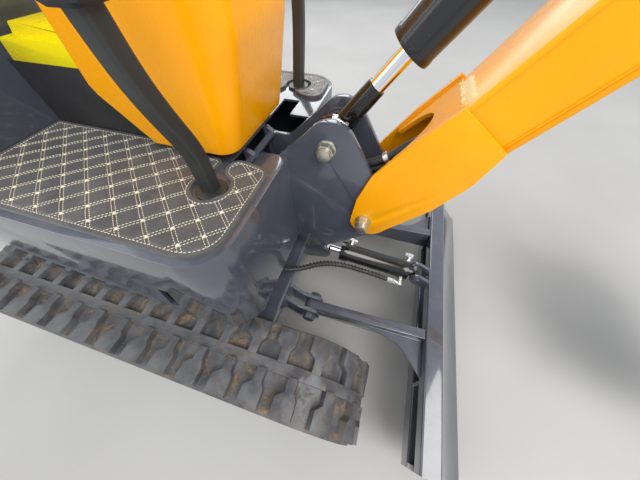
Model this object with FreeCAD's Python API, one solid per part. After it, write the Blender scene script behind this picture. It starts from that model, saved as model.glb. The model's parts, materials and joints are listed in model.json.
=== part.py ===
import FreeCAD, Part
import math
import os

V = FreeCAD.Vector

# Mini excavator of the one tonne class, in millimetres. +X is the machine's front, +Y its left
# side, +Z up. The origin lies on the ground under the slew axis.

# Rubber tracks
TRACK_WIDTH = 180.0
TRACK_PITCH = 72.0
TRACK_LINKS = 37
TRACK_HEIGHT = 340.0
TRACK_Y = 375.0
LUG_HEIGHT = 20.0
LUG_HALF_LENGTH = 22.0
BELT_THICKNESS = 14.0
RIB_WIDTH = 24.0
RIB_HEIGHT = 14.0
RUNNING_SEAT = 0.3

# Track frames and wheels
BEAM_WIDTH = 80.0
BEAM_BOTTOM = 140.0
BEAM_TOP = 240.0
ROLLER_RADIUS = 48.0
ROLLER_WIDTH = 70.0
ROLLER_PLACES = (-240.0, 0.0, 240.0)
CARRIER_RADIUS = 25.0
WHEEL_WIDTH = 60.0
AXLE_RADIUS = 14.0
SPROCKET_TEETH = 12
FORK_PLATE = 8.0
MOTOR_PLATE = 10.0

# Centre frame
CROSS_TUBE_FRONT = 343.0
CROSS_TUBE_DEPTH = 54.0
CROSS_TUBE_TOP = 285.0
CROSS_TUBE_HEIGHT = 80.0
DECK_THICKNESS = 14.0
DECK_HALF_WIDTH = 190.0
BRACKET_INNER = 240.0

# Slew ring
SLEW_RADIUS = 200.0
SLEW_BORE = 140.0
SLEW_GAP = 0.3

# Dozer blade
BLADE_WIDTH = 930.0
BLADE_PIVOT = (413.0, 205.0)
BLADE_ARM_Y = 180.0
BLADE_ARM_THICKNESS = 26.0
BLADE_TUBE = 44.0
BLADE_TUBE_REAR = 733.0
BLADE_TUBE_TOP = 250.0
BLADE_EDGE = (892.0, 50.0)
BLADE_PLATE = 10.0
BLADE_LOW_TUBE = (735.0, 92.0, 56.0)
BLADE_EYE = (404.0, 275.0)
BLADE_EYE_HALF = 15.0
BLADE_CLEVIS = (695.0, 247.0)
BLADE_CYLINDER_LIMITS = (271.5, 322.5)
TIE_DOWN_RADIUS = 13.0
TOW_THICKNESS = 20.0

# House, the upper structure
HOUSE_HALF_WIDTH = 333.0
HOUSE_FRONT = 338.0
HOUSE_REAR = -720.0
HOUSE_BOTTOM = 380.0
HOUSE_RIM = 640.0
HOUSE_CORNER = 68.0
HOUSE_WALL = 8.0
FLOOR_THICKNESS = 6.0
MAT_THICKNESS = 8.0
MAT_MARGIN = 9.0
SEAT_BOX_FRONT = -208.0
SEAT_BOX_TOP = 900.0
DOOR_FRONT = -560.0
DOOR_GAP = 6.0
BULKHEAD = 8.0
PANEL_INSET = 4.0
PANEL_WALL = 5.0
HINGE_RADIUS = 7.0
HINGE_OUT = 4.0
HINGE_PIN = 3.0
HINGE_PLACES = (HOUSE_RIM + 50.0, SEAT_BOX_TOP - 90.0)
HINGE_KNUCKLE = 30.0
FLOOR_OPENING = ((240.0, 281.0, -98.0, 172.0), (280.0, 330.0, -54.3, 101.0))
MOUTH_TOP = 560.0
SKIRT_SLOT = ((136.0, 392.0), (160.0, 392.0), (183.0, 490.0), (160.0, 490.0))

# Boom supports
SUPPORT_INNER = 42.0
SUPPORT_OUTER = 54.0
SUPPORT_REAR = 236.0
SUPPORT_DIP = 614.5
UPPER_PIN = (417.0, 662.0)
FOOT_PIN = (506.0, 503.0)
BOLT_RADIUS = 12.0
NUT_ACROSS = 28.0
NUT_HEIGHT = 13.0
NUT_COLLAR = 5.0
WASHER_RADIUS = 17.5

# Boom
BOOM_ANGLE = 57.5
BOOM_BEND = 38.0
BOOM_KNEE = 700.0
BOOM_UPPER = 640.0
FORK_THICKNESS = 8.0
FORK_GAP = 1.5
WEB_HALF_WIDTH = 45.5
FLANGE_HALF_WIDTH = 51.0
BOOM_TOP_OFFSET = 41.0
BOOM_LOW_OFFSET = 44.0
FLANGE_THICKNESS = 8.0
BOOM_TIP_FORK = 10.0
TIP_INNER = 45.0
MOUTH_START = 130.0
MOUTH_END = 222.0
MOUTH_HALF_WIDTH = 44.0

# Arm
ARM_ANGLE = -78.0
ARM_LENGTH = 800.0
ARM_HALF_WIDTH = 38.0
ARM_TAIL_RADIUS = 185.0
ARM_TAIL_ANGLE = 132.8

# Bucket linkage, measured from the bucket's pin along the arm and above it
ROCKER_PIN = (-142.0, 58.0)
ROCKER_LENGTH = 143.0
ROCKER_GAP = 6.0
ROCKER_THICKNESS = 12.0
LINK_LENGTH = 158.0
LINK_GAP = 4.0
LINK_THICKNESS = 12.0
BUCKET_LUG = 95.0
BUCKET_LUG_ANGLE = 35.0
BUCKET_CYLINDER_PIN = (-550.0, 110.0)
BUCKET_CYLINDER_LIMITS = (406.0, 548.0)
BUCKET_WIDTH = 380.0
BUCKET_RADIUS = 430.0
BUCKET_ANGLE = -82.0
BUCKET_WALL = 8.0
BUCKET_EAR_GAP = 4.0
BUCKET_EAR = 14.0
BUCKET_TEETH = 4
TOOTH_WIDTH = 40.0
TOOTH_REACH = 72.0

# Cylinder pins
BOOM_CYLINDER_ANGLE = 53.5
BOOM_CYLINDER_REST = 615.0
BOOM_CYLINDER_LIMITS = (575.0, 843.0)
BARREL_CLEAR = 10.0
ARM_CYLINDER_LIMITS = (487.0, 788.0)
PIN_RADIUS = 12.5
EYE_HALF = 20.0
SMALL_EYE_HALF = 16.0
EYE_GAP = 2.0

# Seat, console and canopy
CONSOLE_HALF_WIDTH = 118.0
CONSOLE_TOP = 1165.0
PLINTH_HALF_WIDTH = 80.0
CANOPY_TOP = 2180.0
POST_RADIUS = 17.0
POST_TOP = CANOPY_TOP - 31.5
POST_FEET = {-1: (250.0, -184.0), 1: (252.0, 245.0)}
PLINTH_STEP = 654.0
PLINTH_TOP = 755.0
SEAT_WIDTH = 430.0
SEAT_PAN = SEAT_BOX_TOP + 39.0
SEAT_DEPTH = 91.0
SEAT_BACK_DEPTH = 90.0


def unit(a, b):
    """Return the unit vector from a to b in a plane, with its length."""
    dx, dy = b[0] - a[0], b[1] - a[1]
    length = math.hypot(dx, dy)
    return dx / length, dy / length, length


def ring(points, place):
    """Join points (a, b, radius) into a closed wire of lines and tangent arcs."""
    spots = []
    count = len(points)
    for i in range(count):
        before, here, after = points[i - 1], points[i], points[(i + 1) % count]
        radius = here[2] if len(here) > 2 else 0.0
        if radius <= 0.0:
            spots.append((here[:2], None, here[:2]))
            continue
        ux, uy, _ = unit(here, before)
        wx, wy, _ = unit(here, after)
        half = math.acos(max(-1.0, min(1.0, ux * wx + uy * wy))) / 2.0
        reach = radius / math.tan(half)
        bx, by = ux + wx, uy + wy
        size = math.hypot(bx, by)
        span = radius / math.sin(half) - radius
        start = (here[0] + ux * reach, here[1] + uy * reach)
        end = (here[0] + wx * reach, here[1] + wy * reach)
        middle = (here[0] + bx / size * span, here[1] + by / size * span)
        spots.append((start, middle, end))
    edges = []
    for i in range(count):
        start, middle, end = spots[i]
        if middle is not None:
            edges.append(Part.Arc(place(start), place(middle), place(end)).toShape())
        following = spots[(i + 1) % count][0]
        if math.hypot(following[0] - end[0], following[1] - end[1]) > 1e-4:
            edges.append(Part.LineSegment(place(end), place(following)).toShape())
    return Part.Wire(edges)


def plate(points, y0, y1):
    """Extrude an outline drawn in X and Z from y0 to y1."""
    wire = ring(points, lambda p: V(p[0], y0, p[1]))
    return Part.Face(wire).extrude(V(0, y1 - y0, 0))


def pair(points, y0, y1):
    """Make the same plate on the right and on the left of the centre plane."""
    return [plate(points, y0, y1), plate(points, -y1, -y0)]


def slab(points, z0, z1):
    """Extrude a plan outline drawn in X and Y from z0 to z1."""
    wire = ring(points, lambda p: V(p[0], p[1], z0))
    return Part.Face(wire).extrude(V(0, 0, z1 - z0))


def block(x0, x1, y0, y1, z0, z1):
    """Make a block between two corners."""
    return Part.makeBox(x1 - x0, y1 - y0, z1 - z0, V(x0, y0, z0))


def cross_pin(spot, radius, y0, y1):
    """Make a round bar across the machine at a point of the X and Z plane."""
    return Part.makeCylinder(radius, y1 - y0, V(spot[0], y0, spot[1]), V(0, 1, 0))


def rod(start, end, radius):
    """Make a round bar between two points."""
    way = end - start
    return Part.makeCylinder(radius, way.Length, start, way)


def hexagon(spot, across, y0, y1):
    """Make a nut or bolt head across the machine."""
    corner = across / math.sqrt(3.0)
    points = []
    for i in range(6):
        turn = math.radians(60.0 * i)
        points.append((spot[0] + corner * math.cos(turn), spot[1] + corner * math.sin(turn)))
    return plate(points, y0, y1)


def join(shapes):
    """Fuse shapes into one and clean the seams."""
    whole = shapes[0]
    if len(shapes) > 1:
        whole = whole.fuse(shapes[1:])
    return whole.removeSplitter()


def mirror(shape):
    """Mirror a shape to the other side of the centre plane."""
    return shape.mirror(V(0, 0, 0), V(0, 1, 0))


def save(name, shape):
    """Write one node."""
    shape.exportStep("parts/" + name + ".step")


class Axis:
    """A local frame in the centre plane: s runs along a direction, n across it, to its right."""

    def __init__(self, origin, angle):
        self.origin = origin
        self.angle = angle
        self.cos = math.cos(math.radians(angle))
        self.sin = math.sin(math.radians(angle))

    def at(self, s, n, *radius):
        """Give the X and Z of a local point, with its corner radius after it."""
        x = self.origin[0] + s * self.cos + n * self.sin
        z = self.origin[1] + s * self.sin - n * self.cos
        return (x, z, *radius)

    def path(self, points):
        """Map a list of local points."""
        return [self.at(*point) for point in points]


def inset(points, walls):
    """Move each edge of a closed outline inwards by its own wall; edge i starts at point i."""
    moved = []
    lines = []
    count = len(points)
    for i in range(count):
        a, b = points[i], points[(i + 1) % count]
        ux, uy, _ = unit(a, b)
        lines.append((a[0] - uy * walls[i], a[1] + ux * walls[i], ux, uy))
    for i in range(count):
        ax, ay, ux, uy = lines[i - 1]
        bx, by, wx, wy = lines[i]
        along = ((bx - ax) * wy - (by - ay) * wx) / (ux * wy - uy * wx)
        radius = points[i][2] if len(points[i]) > 2 else 0.0
        smaller = max(0.0, radius - max(walls[i - 1], walls[i])) if radius else 0.0
        moved.append((ax + along * ux, ay + along * uy, smaller))
    return moved


def two_circles(a, radius_a, b, radius_b):
    """Give the crossing of two circles that lies to the left of the way from a to b."""
    ux, uy, gap = unit(a, b)
    along = (radius_a ** 2 - radius_b ** 2 + gap ** 2) / (2.0 * gap)
    off = math.sqrt(radius_a ** 2 - along ** 2)
    return (a[0] + along * ux - off * uy, a[1] + along * uy + off * ux)


blade_tie_down = (BLADE_TUBE_REAR + BLADE_TUBE / 2.0, BLADE_TUBE_TOP - BLADE_TUBE - 30.0)
tow_hole = (-CROSS_TUBE_FRONT - 28.0, CROSS_TUBE_TOP - CROSS_TUBE_HEIGHT / 2.0)

# Every pin of the working arm, worked out from the driving sizes
boom_low = Axis(FOOT_PIN, BOOM_ANGLE)
knee = boom_low.at(BOOM_KNEE, 0.0)
boom_high = Axis(knee, BOOM_ANGLE - BOOM_BEND)
boom_tip = boom_high.at(BOOM_UPPER, 0.0)
boom_cylinder_axis = Axis(UPPER_PIN, BOOM_CYLINDER_ANGLE)
boom_cylinder_pin = boom_cylinder_axis.at(BOOM_CYLINDER_REST, 0.0)
arm_cylinder_pin = boom_high.at(40.0, -150.0)
arm_axis = Axis(boom_tip, ARM_ANGLE)
arm_tail = Axis(boom_tip, ARM_ANGLE + ARM_TAIL_ANGLE).at(ARM_TAIL_RADIUS, 0.0)
bucket_pin = arm_axis.at(ARM_LENGTH, 0.0)


def on_arm(along, above):
    """Give a point by its distance from the bucket's pin along the arm and above it."""
    return arm_axis.at(ARM_LENGTH + along, -above)


rocker_pin = on_arm(*ROCKER_PIN)
bucket_cylinder_pin = on_arm(*BUCKET_CYLINDER_PIN)
bucket_lug = Axis(bucket_pin, ARM_ANGLE + BUCKET_LUG_ANGLE).at(BUCKET_LUG, 0.0)
rocker_end = two_circles(rocker_pin, ROCKER_LENGTH, bucket_lug, LINK_LENGTH)


def cylinder(eye, pin, limits, sizes):
    """Make a hydraulic cylinder: its barrel is carried at the pin, its rod ends in the eye.

    limits are the shortest and longest distance between the two; sizes name the radii.
    """
    ux, uz, rest = unit(pin, eye)
    way = V(ux, 0, uz)
    base = V(pin[0], 0, pin[1])
    shortest, longest = limits
    start = sizes["neck"]
    end = shortest - sizes["rod_eye"] - sizes.get("sleeve", 0.0) - sizes.get("clear", BARREL_CLEAR)
    half = sizes["half_width"]
    outer = sizes["barrel"]
    bore = outer - 6.0
    gland = sizes.get("gland", 26.0)
    barrel = join([
        rod(base + way * start, base + way * end, outer),
        rod(base + way * (end - gland), base + way * end, outer + sizes.get("gland_step", 3.0)),
        rod(base + way * (start - 4.0), base + way * (start + 18.0), outer + 2.0),
        rod(base, base + way * (start + 2.0), sizes["eye"] * 0.8),
        cross_pin(pin, sizes["eye"], -half, half),
    ])
    piston_rest = start + 34.0 + rest - shortest
    barrel = barrel.cut(rod(base + way * (start + 10.0), base + way * (end - 16.0), bore))
    barrel = barrel.cut(rod(base + way * (end - 20.0), base + way * (end + 1.0), sizes["rod"] + RUNNING_SEAT))
    barrel = barrel.cut(cross_pin(pin, PIN_RADIUS, -half - 20.0, half + 20.0))
    pieces = [
        rod(base + way * piston_rest, base + way * (rest - 2.0), sizes["rod"]),
        rod(base + way * (piston_rest - 20.0), base + way * piston_rest, bore - RUNNING_SEAT),
        cross_pin(eye, sizes["rod_eye"], -half, half),
    ]
    if "sleeve" in sizes:
        reach = sizes["rod_eye"] + sizes["sleeve"]
        foot, tip = sizes["sleeve_radii"]
        pieces.append(Part.makeCone(tip, foot, reach, base + way * (rest - reach), way))
    return barrel, join(pieces)


def straight_run():
    """Give half the straight run of the track's path and its neutral radius."""
    neutral = TRACK_HEIGHT / 2.0 - LUG_HEIGHT - BELT_THICKNESS / 2.0
    straight = (TRACK_LINKS * TRACK_PITCH - 2.0 * math.pi * neutral) / 2.0
    return straight / 2.0, neutral


half_base, neutral_radius = straight_run()
belt_radius = neutral_radius + BELT_THICKNESS / 2.0
belt_inner = neutral_radius - BELT_THICKNESS / 2.0
wheel_z = TRACK_HEIGHT / 2.0


def stadium(radius, y0, y1):
    """Make the solid inside one loop round both wheel centres."""
    middle = block(-half_base, half_base, y0, y1, wheel_z - radius, wheel_z + radius)
    ends = [cross_pin((x, wheel_z), radius, y0, y1) for x in (-half_base, half_base)]
    return join([middle, *ends])


def on_loop(distance):
    """Give the point of the belt's outer face at a distance along its neutral line, and its normal."""
    straight = 2.0 * half_base
    bend = math.pi * neutral_radius
    distance = distance % (2.0 * (straight + bend))
    if distance < straight:
        return -half_base + distance, wheel_z + belt_radius, 90.0
    distance -= straight
    if distance < bend:
        turn = 90.0 - math.degrees(distance / neutral_radius)
        centre = half_base
    else:
        distance -= bend
        if distance < straight:
            return half_base - distance, wheel_z - belt_radius, -90.0
        turn = -90.0 - math.degrees((distance - straight) / neutral_radius)
        centre = -half_base
    normal = math.radians(turn)
    return centre + belt_radius * math.cos(normal), wheel_z + belt_radius * math.sin(normal), turn


def lug(side):
    """Draw one lug flat: t along the track, w across it from the centre rib to the belt's edge.

    A narrow neck leaves the rib and opens with two slanted shoulders into the wide outer block.
    """
    outline = [
        (-6.0, RIB_WIDTH / 2.0 - 2.0), (14.0, RIB_WIDTH / 2.0 - 2.0), (14.0, 36.0), (LUG_HALF_LENGTH, 48.0),
        (LUG_HALF_LENGTH, 84.0), (-LUG_HALF_LENGTH, 84.0), (-LUG_HALF_LENGTH, 50.0), (-6.0, 38.0),
    ]
    sink = 4.0
    wire = ring(outline, lambda p: V(p[0], side * p[1], -sink))
    return Part.Face(wire).extrude(V(0, 0, LUG_HEIGHT + sink))


def track():
    """Make the right track: one belt loop with its rib and two staggered rows of lugs."""
    half = TRACK_WIDTH / 2.0
    belt = stadium(belt_radius, -half, half)
    rib = stadium(belt_radius + RIB_HEIGHT, -RIB_WIDTH / 2.0, RIB_WIDTH / 2.0)
    lugs = []
    for side, shift in ((-1, 0.0), (1, 0.5)):
        flat = lug(side)
        for i in range(TRACK_LINKS):
            x, z, turn = on_loop((i + shift) * TRACK_PITCH + TRACK_PITCH / 4.0)
            sink = 0.0 if abs(turn) == 90.0 else LUG_HALF_LENGTH ** 2 / TRACK_HEIGHT
            piece = flat.copy()
            piece.translate(V(0, 0, -sink))
            piece.rotate(V(0, 0, 0), V(0, 1, 0), 90.0 - turn)
            piece.translate(V(x, 0, z))
            lugs.append(piece)
    whole = belt.fuse([rib, *lugs])
    whole = whole.cut(stadium(belt_inner, -half - 1.0, half + 1.0))
    whole.translate(V(0, -TRACK_Y, 0))
    return whole.removeSplitter()


def side_frame():
    """Make the right track frame: a box beam, roller hangers, the idler's fork and the motor plate."""
    inner = -TRACK_Y + BEAM_WIDTH / 2.0
    outer = -TRACK_Y - BEAM_WIDTH / 2.0
    beam_end = half_base - belt_inner - 8.0
    beam = plate([
        (-beam_end, BEAM_BOTTOM, 20.0), (beam_end - 30.0, BEAM_BOTTOM, 20.0), (beam_end, 155.0, 6.0),
        (beam_end, 190.0, 6.0), (beam_end - 50.0, BEAM_TOP, 20.0), (50.0 - beam_end, BEAM_TOP, 20.0),
        (-beam_end, 200.0, 20.0),
    ], outer, inner)
    shapes = [beam]
    axle_z = wheel_z - belt_inner + ROLLER_RADIUS + RUNNING_SEAT
    for x in ROLLER_PLACES:
        hanger = [
            (x - 40.0, BEAM_BOTTOM + 4.0), (x - 20.0, axle_z - 16.0, 12.0),
            (x + 20.0, axle_z - 16.0, 12.0), (x + 40.0, BEAM_BOTTOM + 4.0),
        ]
        for y0, y1 in ((outer - 6.0, outer + 2.0), (inner - 2.0, inner + 6.0)):
            shapes.append(plate(hanger, y0, y1))
    fork = [
        (250.0, 150.0, 8.0), (half_base, wheel_z - 28.0, 27.0), (half_base + 30.0, wheel_z, 20.0),
        (half_base, wheel_z + 28.0, 27.0), (250.0, 196.0, 8.0),
    ]
    for y0, y1 in ((outer, outer + FORK_PLATE), (inner - FORK_PLATE, inner)):
        shapes.append(plate(fork, y0, y1))
    motor = [
        (-260.0, 145.0, 8.0), (-half_base, wheel_z - 75.0, 60.0), (-half_base - 75.0, wheel_z, 60.0),
        (-half_base, wheel_z + 75.0, 60.0), (-260.0, 225.0, 8.0),
    ]
    shapes.append(plate(motor, inner - MOTOR_PLATE, inner))
    carrier_z = wheel_z + belt_inner - CARRIER_RADIUS - RUNNING_SEAT
    shapes.append(plate([
        (-24.0, BEAM_TOP - 4.0), (24.0, BEAM_TOP - 4.0), (12.0, carrier_z + 12.0, 10.0),
        (-12.0, carrier_z + 12.0, 10.0),
    ], inner - 10.0, inner))
    return join(shapes)


def rollers():
    """Make the right idler, its three lower rollers and the carrier roller, each with its axle."""
    inner = -TRACK_Y + BEAM_WIDTH / 2.0
    outer = -TRACK_Y - BEAM_WIDTH / 2.0
    solids = []
    radius = belt_inner - RUNNING_SEAT
    half = WHEEL_WIDTH / 2.0
    profile = [
        (0.0, -half), (0.0, half), (60.0, half), (75.0, 16.0), (100.0, 16.0), (115.0, half),
        (radius, half), (radius, 14.0), (radius - 14.0, 10.0), (radius - 14.0, -10.0),
        (radius, -14.0), (radius, -half), (115.0, -half), (100.0, -16.0), (75.0, -16.0), (60.0, -half),
    ]
    wire = ring(profile, lambda p: V(half_base + p[0], -TRACK_Y + p[1], wheel_z))
    idler = Part.Face(wire).revolve(V(half_base, -TRACK_Y, wheel_z), V(0, 1, 0), 360)
    axle = cross_pin((half_base, wheel_z), AXLE_RADIUS, outer + FORK_PLATE, inner - FORK_PLATE)
    solids.append(join([idler, axle]))
    axle_z = wheel_z - belt_inner + ROLLER_RADIUS + RUNNING_SEAT
    for x in ROLLER_PLACES:
        wide = ROLLER_WIDTH / 2.0
        body = [
            cross_pin((x, axle_z), ROLLER_RADIUS, -TRACK_Y - wide, -TRACK_Y - 12.0),
            cross_pin((x, axle_z), ROLLER_RADIUS, -TRACK_Y + 12.0, -TRACK_Y + wide),
            cross_pin((x, axle_z), ROLLER_RADIUS - 12.0, -TRACK_Y - wide, -TRACK_Y + wide),
            cross_pin((x, axle_z), AXLE_RADIUS, outer + 2.0, inner - 2.0),
        ]
        solids.append(join(body))
    carrier_z = wheel_z + belt_inner - CARRIER_RADIUS - RUNNING_SEAT
    solids.append(cross_pin((0.0, carrier_z), CARRIER_RADIUS, -TRACK_Y - 25.0, inner - 10.0))
    return Part.makeCompound(solids)


def sprocket():
    """Make the right drive sprocket with its teeth and the hub of its motor."""
    root = belt_inner - RUNNING_SEAT - 22.0
    tip = belt_inner - RUNNING_SEAT
    step = 2.0 * math.pi / SPROCKET_TEETH
    outline = []
    for i in range(SPROCKET_TEETH):
        for share, radius in ((-0.36, root), (-0.16, tip), (0.16, tip), (0.36, root)):
            turn = (i + share) * step
            outline.append((-half_base + radius * math.cos(turn), wheel_z + radius * math.sin(turn)))
    centre = (-half_base, wheel_z)
    inner = -TRACK_Y + BEAM_WIDTH / 2.0
    disc = plate(outline, -TRACK_Y - 12.0, -TRACK_Y + 12.0)
    hub = [
        disc,
        cross_pin(centre, 78.0, -TRACK_Y - 50.0, -TRACK_Y + 12.0),
        cross_pin(centre, 60.0, -TRACK_Y - 62.0, -TRACK_Y - 50.0),
        cross_pin(centre, 66.0, -TRACK_Y + 12.0, inner - MOTOR_PLATE),
    ]
    for i in range(6):
        turn = i * math.pi / 3.0
        spot = (centre[0] + 68.0 * math.cos(turn), centre[1] + 68.0 * math.sin(turn))
        hub.append(hexagon(spot, 14.0, -TRACK_Y - 56.0, -TRACK_Y - 49.0))
    return join(hub)


def cross_tube(side):
    """Make one cross tube between the track frames with the thicker brackets at its ends."""
    low = CROSS_TUBE_TOP - CROSS_TUBE_HEIGHT
    reach = TRACK_Y - BEAM_WIDTH / 2.0
    near = side * (CROSS_TUBE_FRONT - CROSS_TUBE_DEPTH)
    far = side * CROSS_TUBE_FRONT
    section = [(near, low, 8.0), (far, low, 8.0), (far, CROSS_TUBE_TOP, 8.0), (near, CROSS_TUBE_TOP, 8.0)]
    shapes = [plate(section, -reach, reach)]
    bracket = [
        (near - side * 5.0, low - 14.0, 10.0), (far + side * 6.0, low - 14.0, 10.0),
        (far + side * 6.0, CROSS_TUBE_TOP + 5.0, 10.0), (near - side * 5.0, CROSS_TUBE_TOP + 5.0, 10.0),
    ]
    shapes.extend(pair(bracket, BRACKET_INNER, reach))
    return shapes


def centre_frame():
    """Make the deck between the two cross tubes with the webs under it and the swivel's hole."""
    low = CROSS_TUBE_TOP - CROSS_TUBE_HEIGHT
    back = CROSS_TUBE_FRONT - CROSS_TUBE_DEPTH
    shapes = [block(-back, back, -DECK_HALF_WIDTH, DECK_HALF_WIDTH, CROSS_TUBE_TOP - DECK_THICKNESS, CROSS_TUBE_TOP)]
    for y0, y1 in ((-162.0, -150.0), (150.0, 162.0)):
        shapes.append(block(-back, back, y0, y1, low + 10.0, CROSS_TUBE_TOP - 2.0))
    return join(shapes).cut(Part.makeCylinder(60.0, 40.0, V(0, 0, CROSS_TUBE_TOP - 30.0)))


def front_cross_tube():
    """Make the front cross tube with the blade's pivot ears, their pins and the cylinder's lug plates."""
    low = CROSS_TUBE_TOP - CROSS_TUBE_HEIGHT
    root = CROSS_TUBE_FRONT - 4.0
    shapes = cross_tube(1)
    half = BLADE_ARM_THICKNESS / 2.0
    px, pz = BLADE_PIVOT
    ear = [
        (root, low + 2.0), (px - 30.0, pz - 34.0, 20.0), (px + 28.0, pz - 28.0, 26.0),
        (px + 28.0, pz + 26.0, 26.0), (px - 30.0, pz + 34.0, 30.0), (root, CROSS_TUBE_TOP - 8.0),
    ]
    for side in (-1, 1):
        for y in (-half - 12.0, half + 2.0):
            shapes.append(plate(ear, side * BLADE_ARM_Y + y, side * BLADE_ARM_Y + y + 10.0))
    lug_z = CROSS_TUBE_TOP - 10.0
    eye = [
        (root, lug_z - 46.0), (BLADE_EYE[0] + 8.0, BLADE_EYE[1] - 26.0, 20.0),
        (BLADE_EYE[0] + 24.0, BLADE_EYE[1], 16.0), (BLADE_EYE[0] + 4.0, BLADE_EYE[1] + 24.0, 20.0),
        (root, lug_z + 8.0),
    ]
    shapes.extend(pair(eye, BLADE_EYE_HALF + 2.0, BLADE_EYE_HALF + 10.0))
    whole = join(shapes).cut(cross_pin(BLADE_PIVOT, PIN_RADIUS, -BLADE_ARM_Y - 40.0, BLADE_ARM_Y + 40.0))
    pins = []
    for side in (-1, 1):
        y = side * BLADE_ARM_Y
        pins.append(cross_pin(BLADE_PIVOT, PIN_RADIUS, y - half - 18.0, y + half + 18.0))
        pins.append(hexagon(BLADE_PIVOT, 30.0, y - half - 28.0, y - half - 12.0))
        pins.append(hexagon(BLADE_PIVOT, 30.0, y + half + 12.0, y + half + 28.0))
    return join([whole, *pins])


def rear_cross_tube():
    """Make the rear cross tube with the tow lug."""
    tx, tz = tow_hole
    root = -CROSS_TUBE_FRONT + 4.0
    tow = [(root, tz - 34.0), (root, tz + 34.0), (tx - 20.0, tz + 26.0, 24.0), (tx - 20.0, tz - 26.0, 24.0)]
    shapes = [*cross_tube(-1), plate(tow, -TOW_THICKNESS / 2.0, TOW_THICKNESS / 2.0)]
    return join(shapes).cut(cross_pin(tow_hole, TIE_DOWN_RADIUS, -TOW_THICKNESS, TOW_THICKNESS))


def slew_lower():
    """Make the fixed ring of the slew bearing with its bolt heads."""
    top = HOUSE_BOTTOM - 48.0
    ring_body = Part.makeCylinder(SLEW_RADIUS, top - CROSS_TUBE_TOP, V(0, 0, CROSS_TUBE_TOP))
    bore = Part.makeCylinder(SLEW_BORE, 200.0, V(0, 0, CROSS_TUBE_TOP - 60.0))
    return ring_body.cut(bore)


def slew_upper():
    """Make the turning ring of the slew bearing under the house."""
    low = HOUSE_BOTTOM - 48.0 + SLEW_GAP
    body = Part.makeCylinder(SLEW_RADIUS - 14.0, HOUSE_BOTTOM - low, V(0, 0, low))
    bore = Part.makeCylinder(SLEW_BORE, 200.0, V(0, 0, low - 60.0))
    return body.cut(bore)


def blade_board():
    """Make the blade's board, its top and lower tubes, its ribs and its cutting edge."""
    half = BLADE_WIDTH / 2.0
    top = BLADE_TUBE_TOP
    rear = BLADE_TUBE_REAR
    front = rear + BLADE_TUBE
    ex, ez = BLADE_EDGE
    shapes = [plate([
        (rear, top - BLADE_TUBE, 5.0), (front, top - BLADE_TUBE, 5.0), (front, top, 5.0), (rear, top, 5.0),
    ], -half, half)]
    outer = Part.Arc(V(front, -half, top - 6.0), V(front + 40.0, -half, 140.0), V(ex, -half, ez)).toShape()
    inner = Part.Arc(V(ex - 14.0, -half, ez), V(front + 28.0, -half, 134.0), V(front - 12.0, -half, top - 10.0))
    edges = [
        outer,
        Part.LineSegment(V(ex, -half, ez), V(ex - 14.0, -half, ez)).toShape(),
        inner.toShape(),
        Part.LineSegment(V(front - 12.0, -half, top - 10.0), V(front, -half, top - 6.0)).toShape(),
    ]
    board = Part.Face(Part.Wire(edges)).extrude(V(0, BLADE_WIDTH, 0))
    shapes.append(board)
    x, z, size = BLADE_LOW_TUBE
    shapes.append(plate([
        (x, z, 5.0), (ex - 46.0, z - 14.0, 5.0), (front + 24.0, z + size, 5.0), (x, z + size, 5.0),
    ], -half, half))
    rib = [
        (rear, top - BLADE_TUBE + 2.0), (front + 6.0, top - BLADE_TUBE + 2.0), (front + 20.0, z + size - 2.0),
        (x, z + size - 2.0),
    ]
    for y in (-half, -BLADE_ARM_Y - 5.0, BLADE_ARM_Y - 5.0, half - 10.0):
        shapes.append(plate(rib, y, y + 10.0))
    cx, cz = BLADE_CLEVIS
    ear = [
        (rear, cz - 30.0), (cx, cz - 24.0, 16.0), (cx - 24.0, cz, 12.0), (cx, cz + 24.0, 16.0), (rear, cz + 3.0),
    ]
    shapes.extend(pair(ear, BLADE_EYE_HALF + 2.0, BLADE_EYE_HALF + 12.0))
    reach = BLADE_EYE_HALF + 18.0
    shapes.append(cross_pin(BLADE_CLEVIS, PIN_RADIUS - RUNNING_SEAT, -reach, reach))
    for y in tie_down_places():
        shapes.append(plate(rib, y - 5.0, y + 5.0))
    whole = join(shapes)
    for y in tie_down_places():
        whole = whole.cut(cross_pin(blade_tie_down, TIE_DOWN_RADIUS, y - 6.0, y + 6.0))
    return whole


def tie_down_places():
    """Give the y of the two ribs with the holes for lashing the machine down."""
    return (-BLADE_WIDTH / 4.0 - 60.0, BLADE_WIDTH / 4.0 + 60.0)


def push_arm():
    """Make the right push arm with its gusset and its pivot."""
    px, pz = BLADE_PIVOT
    rear = BLADE_TUBE_REAR
    half = BLADE_ARM_THICKNESS / 2.0
    y = -BLADE_ARM_Y
    arm_side = [(px, pz - 24.0), (rear, pz - 30.0), (rear, BLADE_TUBE_TOP - 5.0), (px, pz + 24.0)]
    gusset = slab([
        (rear - 150.0, y - half + 2.0), (rear, y - half + 2.0), (rear, y - half - 90.0),
        (rear - 60.0, y - half - 26.0, 60.0),
    ], pz + 4.0, pz + 14.0)
    whole = join([plate(arm_side, y - half, y + half), cross_pin(BLADE_PIVOT, 24.0, y - half, y + half), gusset])
    return whole.cut(cross_pin(BLADE_PIVOT, PIN_RADIUS + RUNNING_SEAT, y - 40.0, y + 40.0))


def house_plan(inset=0.0):
    """Draw the house's plan: square front corners with a radius and a rounded tail."""
    x0, x1, y = HOUSE_REAR + inset, HOUSE_FRONT - inset, HOUSE_HALF_WIDTH - inset
    corner = HOUSE_CORNER - inset
    return [
        (x1, -y, corner), (x1, y, corner), (x0 + 170.0, y, 130.0), (x0, y * 0.5, 130.0),
        (x0, -y * 0.5, 130.0), (x0 + 170.0, -y, 130.0),
    ]


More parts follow.
